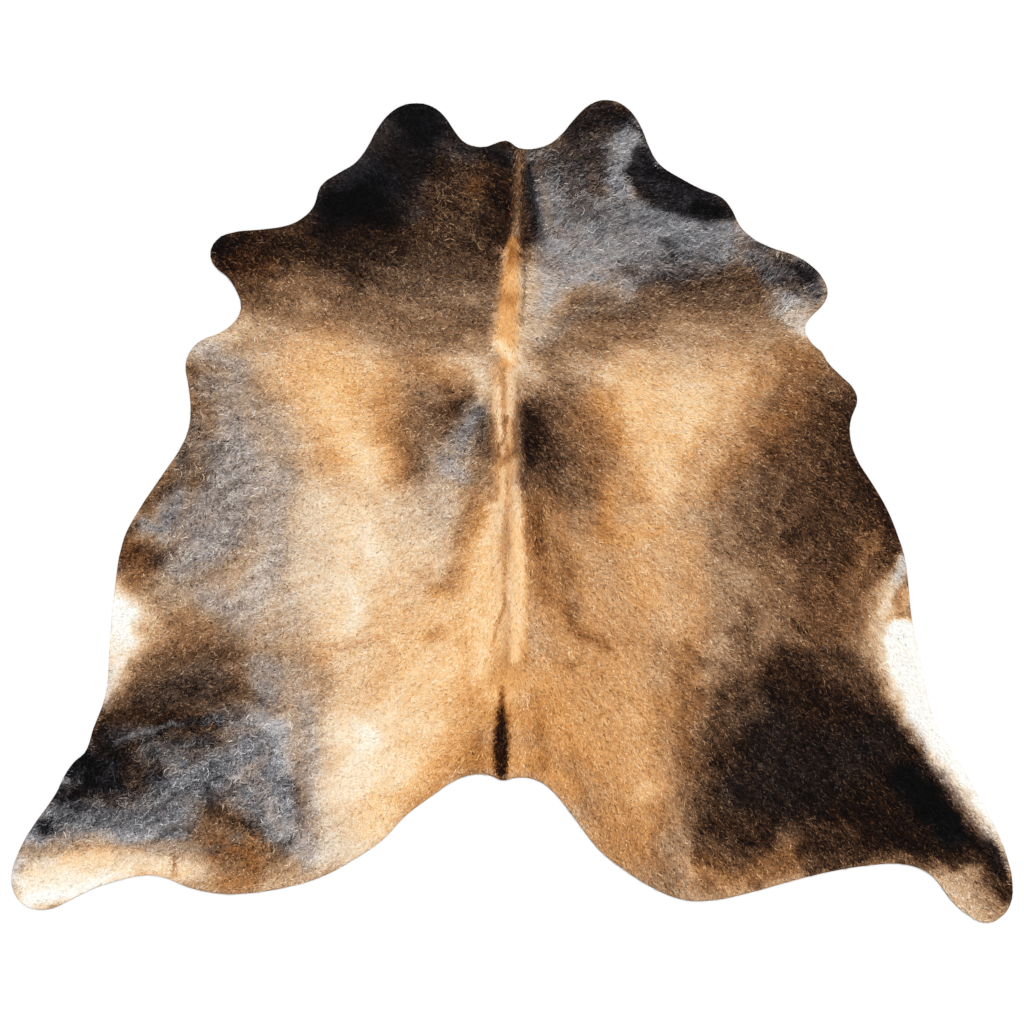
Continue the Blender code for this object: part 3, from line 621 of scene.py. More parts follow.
# Strokes of the same kind for warmth: 0 is cool grey hair, 1 golden.
BASE_WARMTH = 0.60
WARMTH_MARKS = (
    ("loin left ground", 12, 0.86, ((-26, -22, 7), (-25, -42, 10), (-20, -58, 8))),
    ("loin right ground", 12, 0.88, ((6, -2, 6), (11, -16, 9), (17, -30, 9), (26, -46, 9), (26, -70, 9))),
    ("side left ground", 10, 0.88, ((-29, 28, 5), (-28, 10, 5))),
    ("side right ground", 12, 0.84, ((48, 28, 8), (60, 20, 8))),
    ("flank right ground", 12, 0.76, ((74, -8, 8), (70, -20, 8))),
    ("left lobes", 9, 0.05, ((-20, 85, 8), (-30, 73, 8), (-38, 68, 6))),
    ("left lobe brown", 6, 0.22, ((-30, 83, 3), (-22, 74, 4))),
    ("neck brown", 8, 0.55, ((-14, 74, 3), (-11, 68, 6), (-10, 60, 5))),
    ("neck rust", 4, 0.85, ((-8, 71, 2),)),
    ("neck top", 4, 0.20, ((-12, 79, 2.4), (-5, 80, 2), (-1, 77.5, 2.2), (6, 79, 2))),
    ("left shoulder", 8, 0.52, ((-38, 56, 4), (-20, 52, 7), (-8, 48, 5))),
    ("left foreleg", 5, 0.76, ((-61, 54, 3), (-55, 54, 3.4))),
    ("left foreleg tip", 3, 0.20, ((-65.5, 59.5, 2),)),
    ("left arm", 6, 0.62, ((-55, 47, 4), (-46, 48, 5))),
    ("gold left", 12, 0.93, ((-42, 30, 9), (-37, 14, 7))),
    ("gold left heart", 6, 1.00, ((-38, 27, 4.4), (-36, 18, 3))),
    ("elbow", 6, 0.32, ((-68, 36, 3), (-61, 32, 3), (-60, 27, 2.4), (-67, 28, 3))),
    ("flank cool", 10, 0.22, ((-61, 20, 4), (-60, 8, 7), (-64, -4, 6), (-73, -12, 4))),
    ("flank cool inner", 8, 0.31, ((-52, 8, 4), (-53, -2, 4.6))),
    ("flank cool upper", 8, 0.40, ((-57, 22, 3.4), (-50, 16, 2.6))),
    ("flank cool far", 6, 0.55, ((-45.6, 2, 2), (-46, -10, 2.4))),
    ("flank coolest", 5, 0.20, ((-66, 14, 2), (-64, 6, 2))),
    ("flank lower", 8, 0.30, ((-66, -19, 4), (-60, -23, 4), (-52, -10, 4))),
    ("flank lower tan", 7, 0.45, ((-50, -20, 3), (-49, -24, 3))),
    ("back cool ground", 7, 0.50, ((-15, 12, 5), (-17, 3, 5), (-16, -4, 3))),
    ("back cool", 5, 0.14, ((-7.8, 21.5, 2.4), (-11.4, 15.6, 2.2))),
    ("back cool low", 5, 0.22, ((-13.4, 10, 3), (-10.6, 8, 1.6))),
    ("back gap cool", 3, 0.40, ((-5.8, 19, 1.2), (-8.4, 12.8, 1.6))),
    ("barrel cream", 8, 0.76, ((-34, 0, 6), (-32, -12, 7), (-22, -12, 5))),
    ("loin gold", 12, 0.97, ((-6, 0, 3), (-7, -14, 6), (-10, -38, 10), (6, -42, 9), (16, -52, 5))),
    ("tail sides", 6, 0.95, ((-14, -53, 3.4), (-6, -54, 3.6), (6, -55, 3.6), (13, -61, 3))),
    ("spine low gold", 2.4, 0.98, ((1.2, -3, 1), (2, -16, 1.4), (1.6, -31, 2))),
    ("croup cool", 5, 0.84, ((2.6, -41, 2),)),
    ("rump cream warm", 8, 0.77, ((-34, -32, 4), (-36, -48, 3), (-36, -62, 4))),
    ("rump gold", 8, 0.86, ((-31, -50, 4), (-29, -66, 4))),
    ("rump inner gold", 8, 0.97, ((-12, -49, 4), (-18, -56, 4), (-22, -62, 2.4), (-32, -70.6, 1.6))),
    ("rump low fade", 6, 0.46, ((-42, -69, 2.6), (-39, -76.6, 1.6))),
    ("loin fold gold", 7, 0.92, ((-15, -19, 3), (-22, -32, 3))),
    ("spine gold", 2.4, 1.00, ((0.2, 59, 1.2), (-0.4, 50, 1.9), (-1.4, 37, 2.4))),
    ("spine cream", 2.4, 0.80, ((-2, 31, 2.3), (-1.8, 18, 2.2), (-1.4, 10, 2.4))),
    ("spine knot gold", 2.4, 0.98, ((-0.6, 33.4, 1.8),)),
    ("spine low warm", 3, 0.84, ((-2.4, 9, 2), (-1.4, 3, 1.8))),
    ("back gold", 7, 0.80, ((-20, 32, 3), (-13, 30, 3))),
    ("right neck cool", 6, 0.10, ((9, 74, 3), (12, 66, 5), (24, 62, 8), (44, 63, 6), (28, 78, 6))),
    ("right neck low", 6, 0.10, ((8, 59, 3.4), (12, 56, 4.4), (20, 56, 4), (46, 57, 4))),
    ("right neck fade", 5, 0.10, (
        (12, 50.5, 1.8), (17, 51, 1.8), (25, 48.6, 2.8), (30, 51, 1.8), (44, 52.5, 1.6),
    )),
    ("shoulder fade", 8, 0.44, ((25, 44, 3), (31, 40, 3))),
    ("black strip", 3, 0.12, ((3, 77, 1.4), (5, 70, 2), (6, 62, 1.6))),
    ("spine rust", 1.6, 0.60, ((2, 79.5, 1.2), (1.4, 70, 1), (0.9, 62, 1.2))),
    ("right lobe", 6, 0.25, ((20, 87, 4), (14, 82, 3.6), (17, 79, 2.4))),
    ("right lobe light", 4, 0.05, ((25, 83, 3.4), (22.5, 77, 2.6), (23.5, 71, 3))),
    ("right lobe inner", 3, 0.12, ((20, 80.5, 1.4), (19.4, 73, 1.2))),
    ("right lobe rim", 3, 0.12, ((27, 87, 1.6), (29.5, 83, 1))),
    ("right neck brown", 6, 0.18, ((9, 78, 2), (15, 75, 3), (15, 68, 3))),
    ("right neck cool east", 8, 0.03, ((30, 65, 3), (38, 61, 3), (46, 61, 2))),
    ("black patch", 4, 0.08, ((29, 77, 2.4), (36, 71, 3), (44, 68, 2))),
    ("withers cool", 5, 0.22, ((5, 52, 2), (8, 54, 2.4), (8, 48, 3), (5, 43, 1.5))),
    ("withers pale inner", 4, 0.52, ((4, 54, 1), (3.9, 42, 1.2))),
    ("withers edge", 5, 0.42, ((6, 37, 2), (22, 48, 2))),
    ("right foreleg", 6, 0.10, ((52, 60, 2), (65, 53, 4), (68, 48, 2), (60, 46, 3))),
    ("right foreleg tan", 3, 0.30, ((65, 47, 1.8),)),
    ("right foreleg brown", 3, 0.36, ((56.5, 57.4, 1.2), (59.5, 55.6, 1.2))),
    ("right foreleg dark", 3, 0.08, ((52, 55, 2), (57, 51.5, 2))),
    ("right foreleg low", 4, 0.26, ((64, 41, 2.2), (62, 44, 2))),
    ("right shoulder", 7, 0.52, ((30, 47, 2), (50, 49, 4))),
    ("right shoulder low", 6, 0.62, ((16, 38, 3), (40, 41, 3))),
    ("gold right", 12, 0.92, ((28, 26, 8), (38, 20, 8), (31, 6, 7))),
    ("gold right low", 8, 0.80, ((42, 5, 4), (48, 13, 3))),
    ("barrel far warm", 6, 0.80, ((50, 12, 3.4),)),
    ("side far cool", 5, 0.68, ((57, 25, 2.4), (53, 22, 1.4))),
    ("loin right gold", 8, 0.95, ((20, 14, 2.6), (21, -5, 3.6), (32, -5, 3))),
    ("loin right brown", 7, 0.78, ((8, -1, 2), (10, -12, 2.4), (14, -21, 2))),
    ("gold right heart", 6, 1.00, ((27, 23, 3.6), (31, 16, 2.6))),
    ("flank top", 6, 0.80, ((60, 34, 3), (65, 32, 2.4))),
    ("flank brown", 10, 0.64, ((66, 16, 6), (70, 0, 8), (60, -14, 8))),
    ("flank brown low", 8, 0.70, ((74, -18, 4), (68, -22, 4))),
    ("back right brown", 8, 0.76, ((16, 20, 4), (19, 11, 5))),
    ("gold right left", 6, 0.95, ((19.5, 24, 2.4), (23.4, 17, 2.6), (27.4, 12, 2))),
    ("barrel right", 10, 0.90, ((28, -14, 6), (34, -40, 5))),
    ("barrel right low", 7, 0.72, ((31.6, -25, 2.6), (33, -37, 3))),
    ("barrel right edge", 8, 0.82, ((38, -8, 4), (40, -22, 4), (39, -30, 3))),
    ("barrel right far", 8, 0.60, ((50, -16, 4), (48, -30, 4))),
    ("thigh right front", 6, 0.80, ((40, -37, 2.2), (38, -47, 2.4), (38.6, -56, 2))),
    ("hind edge", 4, 0.76, ((-84, -9, 3), (-81.6, -12, 2), (-85, -15, 1.6))),
    ("thigh cool side", 5, 0.45, ((-76, -18, 2),)),
    ("thigh left", 7, 0.66, ((-80, -28, 4), (-70, -27, 5))),
    ("thigh left low", 6, 0.44, ((-80, -41, 3), (-66, -37, 5))),
    ("thigh left inner", 4, 0.40, ((-53, -27.4, 1.8),)),
    ("barrel low warm", 5, 0.84, ((-41.4, -31.4, 2.2),)),
    ("leg cool", 8, 0.04, (
        (-92, -56, 5), (-78, -61, 5), (-66, -58, 6), (-52, -47, 3), (-52, -58, 5), (-49, -68, 3),
    )),
    ("leg cool upper", 5, 0.16, ((-88, -49, 2), (-78, -49.4, 1.8))),
    ("leg cool arm", 4, 0.08, ((-63, -46.6, 1.2), (-55, -45, 1.6))),
    ("leg cool top", 6, 0.25, ((-56, -33, 2), (-50, -35, 2))),
    ("leg inner warm", 4, 0.40, ((-83, -57, 2.6), (-82, -60, 2))),
    ("leg inner cool", 4, 0.06, ((-79, -52.6, 1.8), (-72, -54.4, 1.8))),
    ("leg inner brown", 3, 0.14, ((-76, -52, 1.8), (-67, -50, 1.8))),
    ("leg cool low", 5, 0.04, ((-106, -71, 3), (-99, -66, 4), (-88, -68, 4), (-72, -67, 3))),
    ("leg cool rim", 4, 0.05, ((-98, -57, 2), (-101, -63, 2))),
    ("leg cool rump", 6, 0.24, ((-47, -72, 3), (-44, -76, 2.4))),
    ("thigh cool", 5, 0.22, ((-54, -38, 3),)),
    ("foot left", 4, 0.85, ((-104, -79, 2.4), (-90, -76.5, 2.4))),
    ("foot left inner", 5, 0.45, ((-106, -75.4, 2), (-102, -76.2, 2.2))),
    ("foot left low", 4, 0.80, ((-105, -84, 3), (-80, -78.5, 1.6), (-71, -79, 1.6))),
    ("foot left rim", 3, 0.58, ((-106, -86, 2.4), (-98, -84, 1.2), (-89, -80.4, 0.6))),
    ("foot left edge", 4, 0.25, ((-109, -77, 2), (-110, -82, 1.6))),
    ("hind rust", 5, 0.84, ((-65, -74, 2.4), (-60, -74, 2.6), (-57, -77, 3.4))),
    ("hind rust top", 3, 0.40, ((-60.4, -72, 1.6),)),
    ("hind rust fade", 4, 0.05, ((-86, -70.6, 1.6), (-73, -71.4, 1.8))),
    ("hind rust cool", 3.4, 0.24, ((-70, -67.4, 1.6), (-71, -69.4, 1))),
    ("hind cool", 5, 0.10, ((-58, -62, 3.4), (-55, -68, 2.6), (-50, -72, 2))),
    ("hind rust rim", 4, 0.82, ((-64, -81, 1.8), (-57, -81.5, 1.8))),
    ("thigh right", 10, 0.36, ((56, -46, 6), (60, -60, 7), (80, -50, 5))),
    ("thigh right fore", 8, 0.56, ((53, -43.6, 3),)),
    ("thigh right fore low", 7, 0.36, ((50, -61, 4),)),
    ("leg right", 5, 0.00, ((87, -60, 3.4), (97, -70.5, 2.4))),
    ("leg right rim", 4, 0.30, ((90, -54, 1), (97, -61, 1.6), (103, -68, 1.8), (107, -77, 1.4))),
    ("hind right", 6, 0.78, ((42, -78, 4), (48, -82, 3), (60, -76, 4))),
    ("hind right grey", 5, 0.60, ((34, -73, 3), (48, -70, 3))),
    ("edge cool", 3, 0.15, ((85.8, -10.4, 1.4), (84.4, -14, 1.2))),
    ("edge tan", 3, 0.78, ((86.4, -18, 1.6), (84.8, -23.4, 2.2))),
    ("edge white low", 4, 0.50, ((99.4, -59, 2.4), (104, -67, 2))),
    ("edge cool low", 4, 0.50, ((92.4, -52.6, 1.4),)),
    ("edge cool waist", 3, 0.28, ((87.2, -45, 1), (90, -51, 1.2))),
    ("flank rim", 5, 0.34, ((-70, 19, 2), (-72, 9, 2))),
    ("flank cool rim", 5, 0.12, ((-80, -3, 2), (-76.4, -4.6, 2), (-75, -1, 2.4), (-73.6, 4, 2))),
    ("flank cool run", 6, 0.18, ((-68, 3, 1.6), (-71, -2, 1.6), (-67, -7, 1.6))),
    ("leg rump rim", 5, 0.30, ((-46, -41, 1.8), (-44, -53, 2.2), (-43.4, -66, 1.8))),
    ("leg arm cool", 5, 0.22, ((-66, -44.4, 1), (-58, -43.4, 1.4), (-50, -39, 1.6))),
    ("leg light hairs", 1.6, 0.08, (
        (-87, -51, 0.9), (-78, -48, 0.9), (-70, -46.4, 0.8), (-64, -44.4, 1),
    )),
    ("stifle cool", 4, 0.34, ((-88.4, -36, 1.4), (-89.6, -41.4, 1.4))),
    ("foreleg warm", 4, 0.40, ((63.6, 43.4, 2.6),)),
    ("foreleg cool dab", 4, 0.12, ((60.6, 52, 2),)),
    ("loin left warm", 7, 0.80, ((-38, -21, 3), (-39, -29, 3))),
    ("rump left cool", 6, 0.44, ((-47, -36, 2.4), (-50, -43, 2))),
    ("foot left cool top", 4, 0.30, ((-98, -71.8, 1.6),)),
    ("leg outer cool", 4, 0.02, ((-96, -58, 1.6), (-92, -61, 1.8))),
    ("leg low line", 3, 0.42, ((-80, -73.6, 0.9), (-71, -74, 1), (-64, -73.6, 0.9))),
    ("lobes line", 5, 0.28, ((-24, 65, 2.2), (-20.4, 66.4, 1.8))),
)

# Strokes for calm: how much less the single hairs stray there, 0 not at all.
CALM_MARKS = (
    ("backbone", 3, 0.50, ((0, 58, 2), (-1, 20, 2.6), (-1, -40, 2.6))),
    ("right neck", 10, 0.28, ((14, 60, 6), (44, 62, 6))),
    ("rump", 12, 0.25, ((-33, -50, 7),)),
    ("left lobe", 10, 0.40, ((-24, 80, 7), (-38, 66, 7))),
)
# Strokes for the long curly hairs: the share of them that grows there, 0 none.
LONG_HAIR_MARKS = (
    ("right neck", 4, 0.90, ((5, 77, 2.4), (13, 72, 5), (24, 72, 3), (16, 61, 6), (30, 59, 6), (45, 57, 5))),
    ("right foreleg", 4, 1.00, ((54, 55, 3), (62, 52, 5), (61, 45, 4))),
    ("left neck", 7, 0.40, ((-10, 76, 5), (-13, 68, 6), (-9, 60, 4))),
    ("left flank", 8, 0.50, ((-72, 8, 4), (-64, 14, 7), (-62, 0, 8), (-70, -12, 7))),
    ("left hind leg", 6, 1.00, (
        (-101, -67, 4), (-88, -58, 7), (-75, -58, 8), (-62, -52, 8), (-54, -60, 7), (-54, -72, 4),
    )),
    ("back patch", 4, 0.70, ((-11, 15, 4),)),
)


# ---------------------------------------------------------------- painting the markings
# Random hills repeat after this many, and are counted from so far off that no count is negative.
HILLS_A_SIDE = 128
HILLS_SHIFT = 1000.0
# How the markings' borders wander, in centimetres: the height and the size of the hills that move
# them, and the seeds for x and for y.
BORDER_WANDER = ((0.9, 6.0, 11, 13), (0.5, 2.2, 12, 14))
# Beside the spine's line, at this x, a small share of it is left. Past the reach it grows back to
# the whole over the fade.
SPINE_LINE_X = -1
SPINE_WANDER = 0.12
SPINE_CALM_REACH = 5
SPINE_CALM_FADE = 6


def smooth(t):
    """An S-curve from 0 to 1: t squared times (3 - 2t), held flat outside that range."""
    t = np.clip(t, 0.0, 1.0)
    return t * t * (3.0 - 2.0 * t)


def stroke(x, y, dabs, soft):
    """How much of a brush stroke lies on each point, 0 to 1.

    The distance to the line between two dabs, less the radius that changes evenly along it, is
    how far outside the stroke a point is. The least of these over all the lines is turned into a
    weight by an S-curve as wide as the soft edge.
    """
    outside = np.full(x.shape, np.inf)
    for (ax, ay, ar), (bx, by, br) in zip(dabs, dabs[1:] or dabs):
        ux = bx - ax
        uy = by - ay
        along = ((x - ax) * ux + (y - ay) * uy) / max(ux * ux + uy * uy, TINY)
        along = np.clip(along, 0, 1)
        reach = np.hypot(x - ax - along * ux, y - ay - along * uy)
        outside = np.minimum(outside, reach - ar - along * (br - ar))
    return smooth(0.5 - outside / soft)


def mix_corners(low_left, low_right, high_left, high_right, across, up):
    """The values at a cell's four corners, mixed by how far across and up it a point lies."""
    lower = low_left * (1 - across) + low_right * across
    upper = high_left * (1 - across) + high_right * across
    return lower * (1 - up) + upper * up


def hills(x, y, size, seed):
    """Smooth random hills between -1 and 1: seeded corner heights, mixed by S-curves between."""
    heights = np.random.default_rng(seed).uniform(-1, 1, (HILLS_A_SIDE, HILLS_A_SIDE))
    u = x / size + HILLS_SHIFT
    v = y / size + HILLS_SHIFT
    column = np.floor(u).astype(int)
    row = np.floor(v).astype(int)
    left = column % HILLS_A_SIDE
    right = (column + 1) % HILLS_A_SIDE
    low = row % HILLS_A_SIDE
    high = (row + 1) % HILLS_A_SIDE
    corners = (heights[left, low], heights[right, low], heights[left, high], heights[right, high])
    return mix_corners(*corners, smooth(u - column), smooth(v - row))


def wander(x, y):
    """Points moved about by slow hills, less beside the spine, so that no border is a clean arc."""
    clear_of_spine = smooth((np.abs(x - SPINE_LINE_X) - SPINE_CALM_REACH) / SPINE_CALM_FADE)
    share = SPINE_WANDER + (1 - SPINE_WANDER) * clear_of_spine
    dx = sum(height * hills(x, y, size, seed) for height, size, seed, _ in BORDER_WANDER)
    dy = sum(height * hills(x, y, size, seed) for height, size, _, seed in BORDER_WANDER)
    return x + share * dx, y + share * dy


def paint(x, y, marks, base):
    """The base value with each stroke in turn pulling the points under it towards its own value.

    Places are in metres here, and the tables' centimetres are reached by dividing.
    """
    x, y = wander(x / CM, y / CM)
    value = np.full(x.shape, base)
    for _, soft, target, dabs in marks:
        px, py, radius = np.array(dabs).T
        reach = radius.max() + soft / 2
        near = (x > px.min() - reach) & (x < px.max() + reach)
        near &= (y > py.min() - reach) & (y < py.max() + reach)
        value[near] += stroke(x[near], y[near], dabs, soft) * (target - value[near])
    return value


# ---------------------------------------------------------------- grids
def even_grid(pitch, margin):
    """The corners of an even grid over the rug's box and `margin` more cells on every side.

    Returns the first corner's column and row, counted from the origin, then the x and the y of
    every corner.
    """
    low = np.floor(np.array(CAD_BOX[0])[:2] / pitch) - margin
    high = np.ceil(np.array(CAD_BOX[1])[:2] / pitch) + margin
    columns, rows = (high - low).astype(int) + 1
    u, v = np.meshgrid(np.arange(columns), np.arange(rows), indexing="ij")
    return low, (u + low[0]) * pitch, (v + low[1]) * pitch


class Chart:
    """Values on an even grid over the rug, read between its points by mixing the nearest four."""

    # A place off the grid is read this much short of its number of corners, which is a little
    # short of its last one, so that there is always a corner beyond it.
    SHORT_OF_END = 1.001

    def __init__(self, pitch, values_at):
        self.pitch = pitch
        self.low, x, y = even_grid(pitch, CHART_MARGIN)
        self.values = values_at(x.ravel(), y.ravel()).reshape(x.shape)

    def __call__(self, x, y):
        columns, rows = self.values.shape
        u = np.clip(x / self.pitch - self.low[0], 0, columns - self.SHORT_OF_END)
        v = np.clip(y / self.pitch - self.low[1], 0, rows - self.SHORT_OF_END)
        i = u.astype(int)
        j = v.astype(int)
        lower = (self.values[i, j], self.values[i + 1, j])
        upper = (self.values[i, j + 1], self.values[i + 1, j + 1])
        return mix_corners(*lower, *upper, u - i, v - j)


def lone_sides(faces, count):
    """The sides that no second face shares, where faces hold numbers of `count` points.

    A side shared by two faces runs one way round the one and the other way round the other.
    Returns the number of each lone side's first point and of its last.
    """
    starts = faces.ravel()
    ends = np.roll(faces, -1, axis=1).ravel()
    lone = ~np.isin(starts * count + ends, ends * count + starts)
    return starts[lone], ends[lone]


# ---------------------------------------------------------------- the trimmed outline
# Points of the solid that agree to so many decimals of a metre are one, and those lower than the
# floor level are on the floor.
SAME_PLACE_DECIMALS = 5
FLOOR_LEVEL = 0.01 * MM
# Points are set against the whole edge in parts of about this many.
POINTS_AT_ONCE = 4000


def cut_edge(mesh):
    """The hide's cut edge: the sides of its floor-level triangles that no second one shares.

    Returns the start and the end of each short straight stretch, as two arrays of (x, y).
    """
    points = np.empty(len(mesh.vertices) * 3)
    mesh.vertices.foreach_get("co", points)
    points = points.reshape(-1, 3).round(SAME_PLACE_DECIMALS)
    places, same = np.unique(points, axis=0, return_inverse=True)
    corners = np.empty(len(mesh.polygons) * 3, dtype=int)
    mesh.polygons.foreach_get("vertices", corners)
    triangles = same.ravel()[corners].reshape(-1, 3)
    triangles = triangles[(places[triangles][:, :, 2] < FLOOR_LEVEL).all(axis=1)]
    starts, ends = lone_sides(triangles, len(places))
    return places[starts, :2], places[ends, :2]


EDGE_STARTS, EDGE_ENDS = cut_edge(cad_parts["hide"].data)


def in_parts(values):
    """An array in parts that are small enough to be set against the whole edge."""
    return np.array_split(values, max(1, len(values) // POINTS_AT_ONCE))


def nearest_on_edge(x, y):
    """For each point, the nearest place on the cut edge: the closest foot on any stretch."""
    run = EDGE_ENDS - EDGE_STARTS
    squared = (run**2).sum(axis=1)
    found = []
    for part in in_parts(np.stack([x, y], axis=1)):
        to = part[:, None, :] - EDGE_STARTS
        along = np.clip((to * run).sum(axis=2) / squared, 0, 1)
        feet = EDGE_STARTS + along[:, :, None] * run
        gap = ((part[:, None, :] - feet) ** 2).sum(axis=2)
        found.append(feet[np.arange(len(part)), gap.argmin(axis=1)])
    return np.concatenate(found)


def inside_edge(x, y):
    """True where a line from the point to the far right crosses the cut edge an odd number of times."""
    (ax, ay), (bx, by) = EDGE_STARTS.T, EDGE_ENDS.T
    rise = np.where(ay == by, 1.0, by - ay)
    found = []
    for px, py in zip(in_parts(x), in_parts(y)):
        px = px[:, None]
        py = py[:, None]
        spans = (ay > py) != (by > py)
        crossing = ax + (py - ay) * (bx - ax) / rise
        found.append((spans & (px < crossing)).sum(axis=1) % 2 == 1)
    return np.concatenate(found)


def depth_inside(x, y):
    """How far inside the cut edge each point lies. Outside it the number is negative."""
    feet = nearest_on_edge(x, y)
    gap = np.hypot(x - feet[:, 0], y - feet[:, 1])
    return np.where(inside_edge(x, y), gap, -gap)


rim_depth = Chart(CHART_PITCH, depth_inside)


# ---------------------------------------------------------------- the hide's height
def off_backbone(x, y):
    """How far to either side of the backbone's line each point lies."""
    return np.abs(x - np.interp(y, BACKBONE_Y, BACKBONE_X))


def coat_top(x, y):
    """The coat's height: thick at the back and thin at the belly, with the ridge over the
    backbone, wrinkles across the neck and slow swells, falling evenly to the rim's height."""
    off_spine = off_backbone(x, y)
    height = SPINE_THICKNESS - (SPINE_THICKNESS - BELLY_THICKNESS) * smooth(off_spine / BELLY_REACH)
    fade = smooth((y - BACKBONE_Y[0]) / RIDGE_FADE) * smooth((BACKBONE_Y[-1] - y) / RIDGE_FADE)
    height += RIDGE_HEIGHT * fade * np.exp(-((off_spine / RIDGE_HALF_WIDTH) ** 2))
    bend = WRINKLE_BEND * np.sin(math.tau * x / WRINKLE_BEND_LENGTH)
    wrinkle = np.sin(math.tau * (y + bend) / WRINKLE_PITCH)
    on_neck = smooth((y - WRINKLES_FROM) / (WRINKLES_FULL_AT - WRINKLES_FROM))
    height += WRINKLE_HEIGHT * wrinkle * on_neck
    turn = math.tau / SWELL_LENGTH
    swell = np.sin(turn * (x + SWELL_SLANT * y)) * np.cos(turn * (y - SWELL_SLANT * x))
    height += SWELL_HEIGHT * swell
    inward = np.clip(rim_depth(x, y) / RIM_ROUNDING, 0, 1)
    return RIM_THICKNESS + (height - RIM_THICKNESS) * inward


# ---------------------------------------------------------------- meshes
def make_piece(name, points, faces, materials, face_material=None):
    """A mesh object at the origin from an array of points and an array of equal-sided faces."""
    mesh = bpy.data.meshes.new(name)
    sides = faces.shape[1]
    mesh.vertices.add(len(points))
    mesh.vertices.foreach_set("co", points.astype(np.float32).ravel())
    mesh.loops.add(faces.size)
    mesh.loops.foreach_set("vertex_index", faces.astype(np.int32).ravel())
    mesh.polygons.add(len(faces))
    mesh.polygons.foreach_set("loop_start", np.arange(0, faces.size, sides, dtype=np.int32))
    for material in materials:
        mesh.materials.append(material)
    if face_material is not None:
        mesh.polygons.foreach_set("material_index", face_material.astype(np.int32))
    mesh.update(calc_edges=True)
    piece = bpy.data.objects.new(name, mesh)
    bpy.context.scene.collection.objects.link(piece)
    return piece


def give_values(piece, name, values):
    """A named number for each of the piece's points, for its material to read."""
    attribute = piece.data.attributes.new(name, "FLOAT", "POINT")
    attribute.data.foreach_set("value", values.astype(np.float32))


def give_map(piece, name, places):
    """A named UV map from one (u, v) for each of the piece's points."""
    corners = np.empty(len(piece.data.loops), dtype=np.int32)
    piece.data.loops.foreach_get("vertex_index", corners)
    uv_map = piece.data.uv_layers.new(name=name)
    uv_map.uv.foreach_set("vector", places[corners].astype(np.float32).ravel())


def hide_skin(grain_side, flesh_side):
    """The tanned skin under the coat, a closed sheet on the floor.

    An even grid is kept wherever a cell has a corner well inside the cut edge, and the corners
    that are not are drawn to the nearest place on that edge. The top lies a set depth under the
    coat, the underside lies on the floor, and a wall joins the two along every side that only
    one cell uses.
    """
    _, x, y = even_grid(SKIN_PITCH, SKIN_MARGIN)
    rows = x.shape[1]
    corner = np.arange(x.size).reshape(x.shape)[:-1, :-1].ravel()
    cells = np.stack([corner, corner + rows, corner + rows + 1, corner + 1], axis=1)
    x = x.ravel()
    y = y.ravel()
    within = rim_depth(x, y) > SKIN_CORNERS_FROM
    cells = cells[within[cells].any(axis=1)]
    used, cells = np.unique(cells, return_inverse=True)
    count = len(used)
    cells = cells.reshape(-1, 4)
    x = x[used]
    y = y[used]
    loose = ~within[used]
    x[loose], y[loose] = nearest_on_edge(x[loose], y[loose]).T
    top = np.maximum(coat_top(x, y) - SKIN_BELOW_COAT, SKIN_LEAST)
    a, b = lone_sides(cells, count)
    walls = np.stack([a + count, b + count, b, a], axis=1)
    points = np.concatenate([np.stack([x, y, top], axis=1), np.stack([x, y, 0 * x], axis=1)])
    faces = np.concatenate([cells, walls, cells[:, ::-1] + count])
    side = np.arange(len(faces)) >= len(cells)
    skin = make_piece("hide_skin", points, faces, [grain_side, flesh_side], side)
    tone = paint(x, y, TONE_MARKS, BASE_TONE)
    warmth = paint(x, y, WARMTH_MARKS, BASE_WARMTH)
    give_values(skin, "tone", np.tile(tone, 2))
    give_values(skin, "warmth", np.tile(warmth, 2))
    return skin


# ---------------------------------------------------------------- the coat
# The way the hair lies: places in centimetres, and the direction in degrees, anticlockwise from +X.
LIE_OF_COAT = (
    (-22, 84, 154), (-6, 76, 165), (-36, 70, 158), (-12, 60, 150), (-30, 58, 152), (-60, 56, 155),
    (-50, 46, 158), (-10, 44, 178), (-40, 34, 172), (-66, 32, 170), (-62, 20, 202), (-40, 20, 184),
    (-16, 18, 188), (-66, 8, 214), (-28, 10, 204), (-12, 0, 216), (-44, 0, 192), (-76, -2, 220),
    (-14, -18, 218), (-40, -24, 198), (-80, -25, 214), (-16, -42, 221), (-40, -46, 200),
    (-62, -38, 200), (-30, -60, 222), (-55, -60, 212), (-86, -58, 216), (-104, -78, 222),
    (-58, -76, 215), (22, 84, 10), (10, 76, 18), (40, 70, 8), (12, 62, 36), (32, 60, 15),
    (56, 50, 40), (8, 48, 8), (32, 50, 8), (12, 36, 340), (44, 36, 347), (10, 20, 320),
    (30, 22, 334), (52, 26, 340), (70, 22, 322), (20, 0, 328), (44, 0, 323), (72, 0, 316),
    (8, -30, 309), (20, -30, 316), (44, -36, 322), (74, -36, 310), (24, -68, 296), (48, -64, 314),
    (80, -60, 312), (104, -78, 319),
)
# A guide's pull falls with the cube of its distance, and is about level this near, in centimetres.
GUIDE_REACH = 5
# The half width of the hair that turns down the backbone: on the neck, and how much more behind it.
PARTING_ON_NECK = 12 * MM
PARTING_WIDENING = 33 * MM
NECK_FROM = 0.66
NECK_FADE = 0.08
# A streak is made of hills at these steps of their size along the hair, scaled by the gain.
STREAK_STEPS = np.arange(-3, 4)
STREAK_GAIN = 0.95
# The seeds of the hills: for ragged borders in x and in y, for streaks and for blotches.
RAGGED_SEEDS = (31, 32)
STREAK_SEED = 21
BLOTCH_SEED = 22


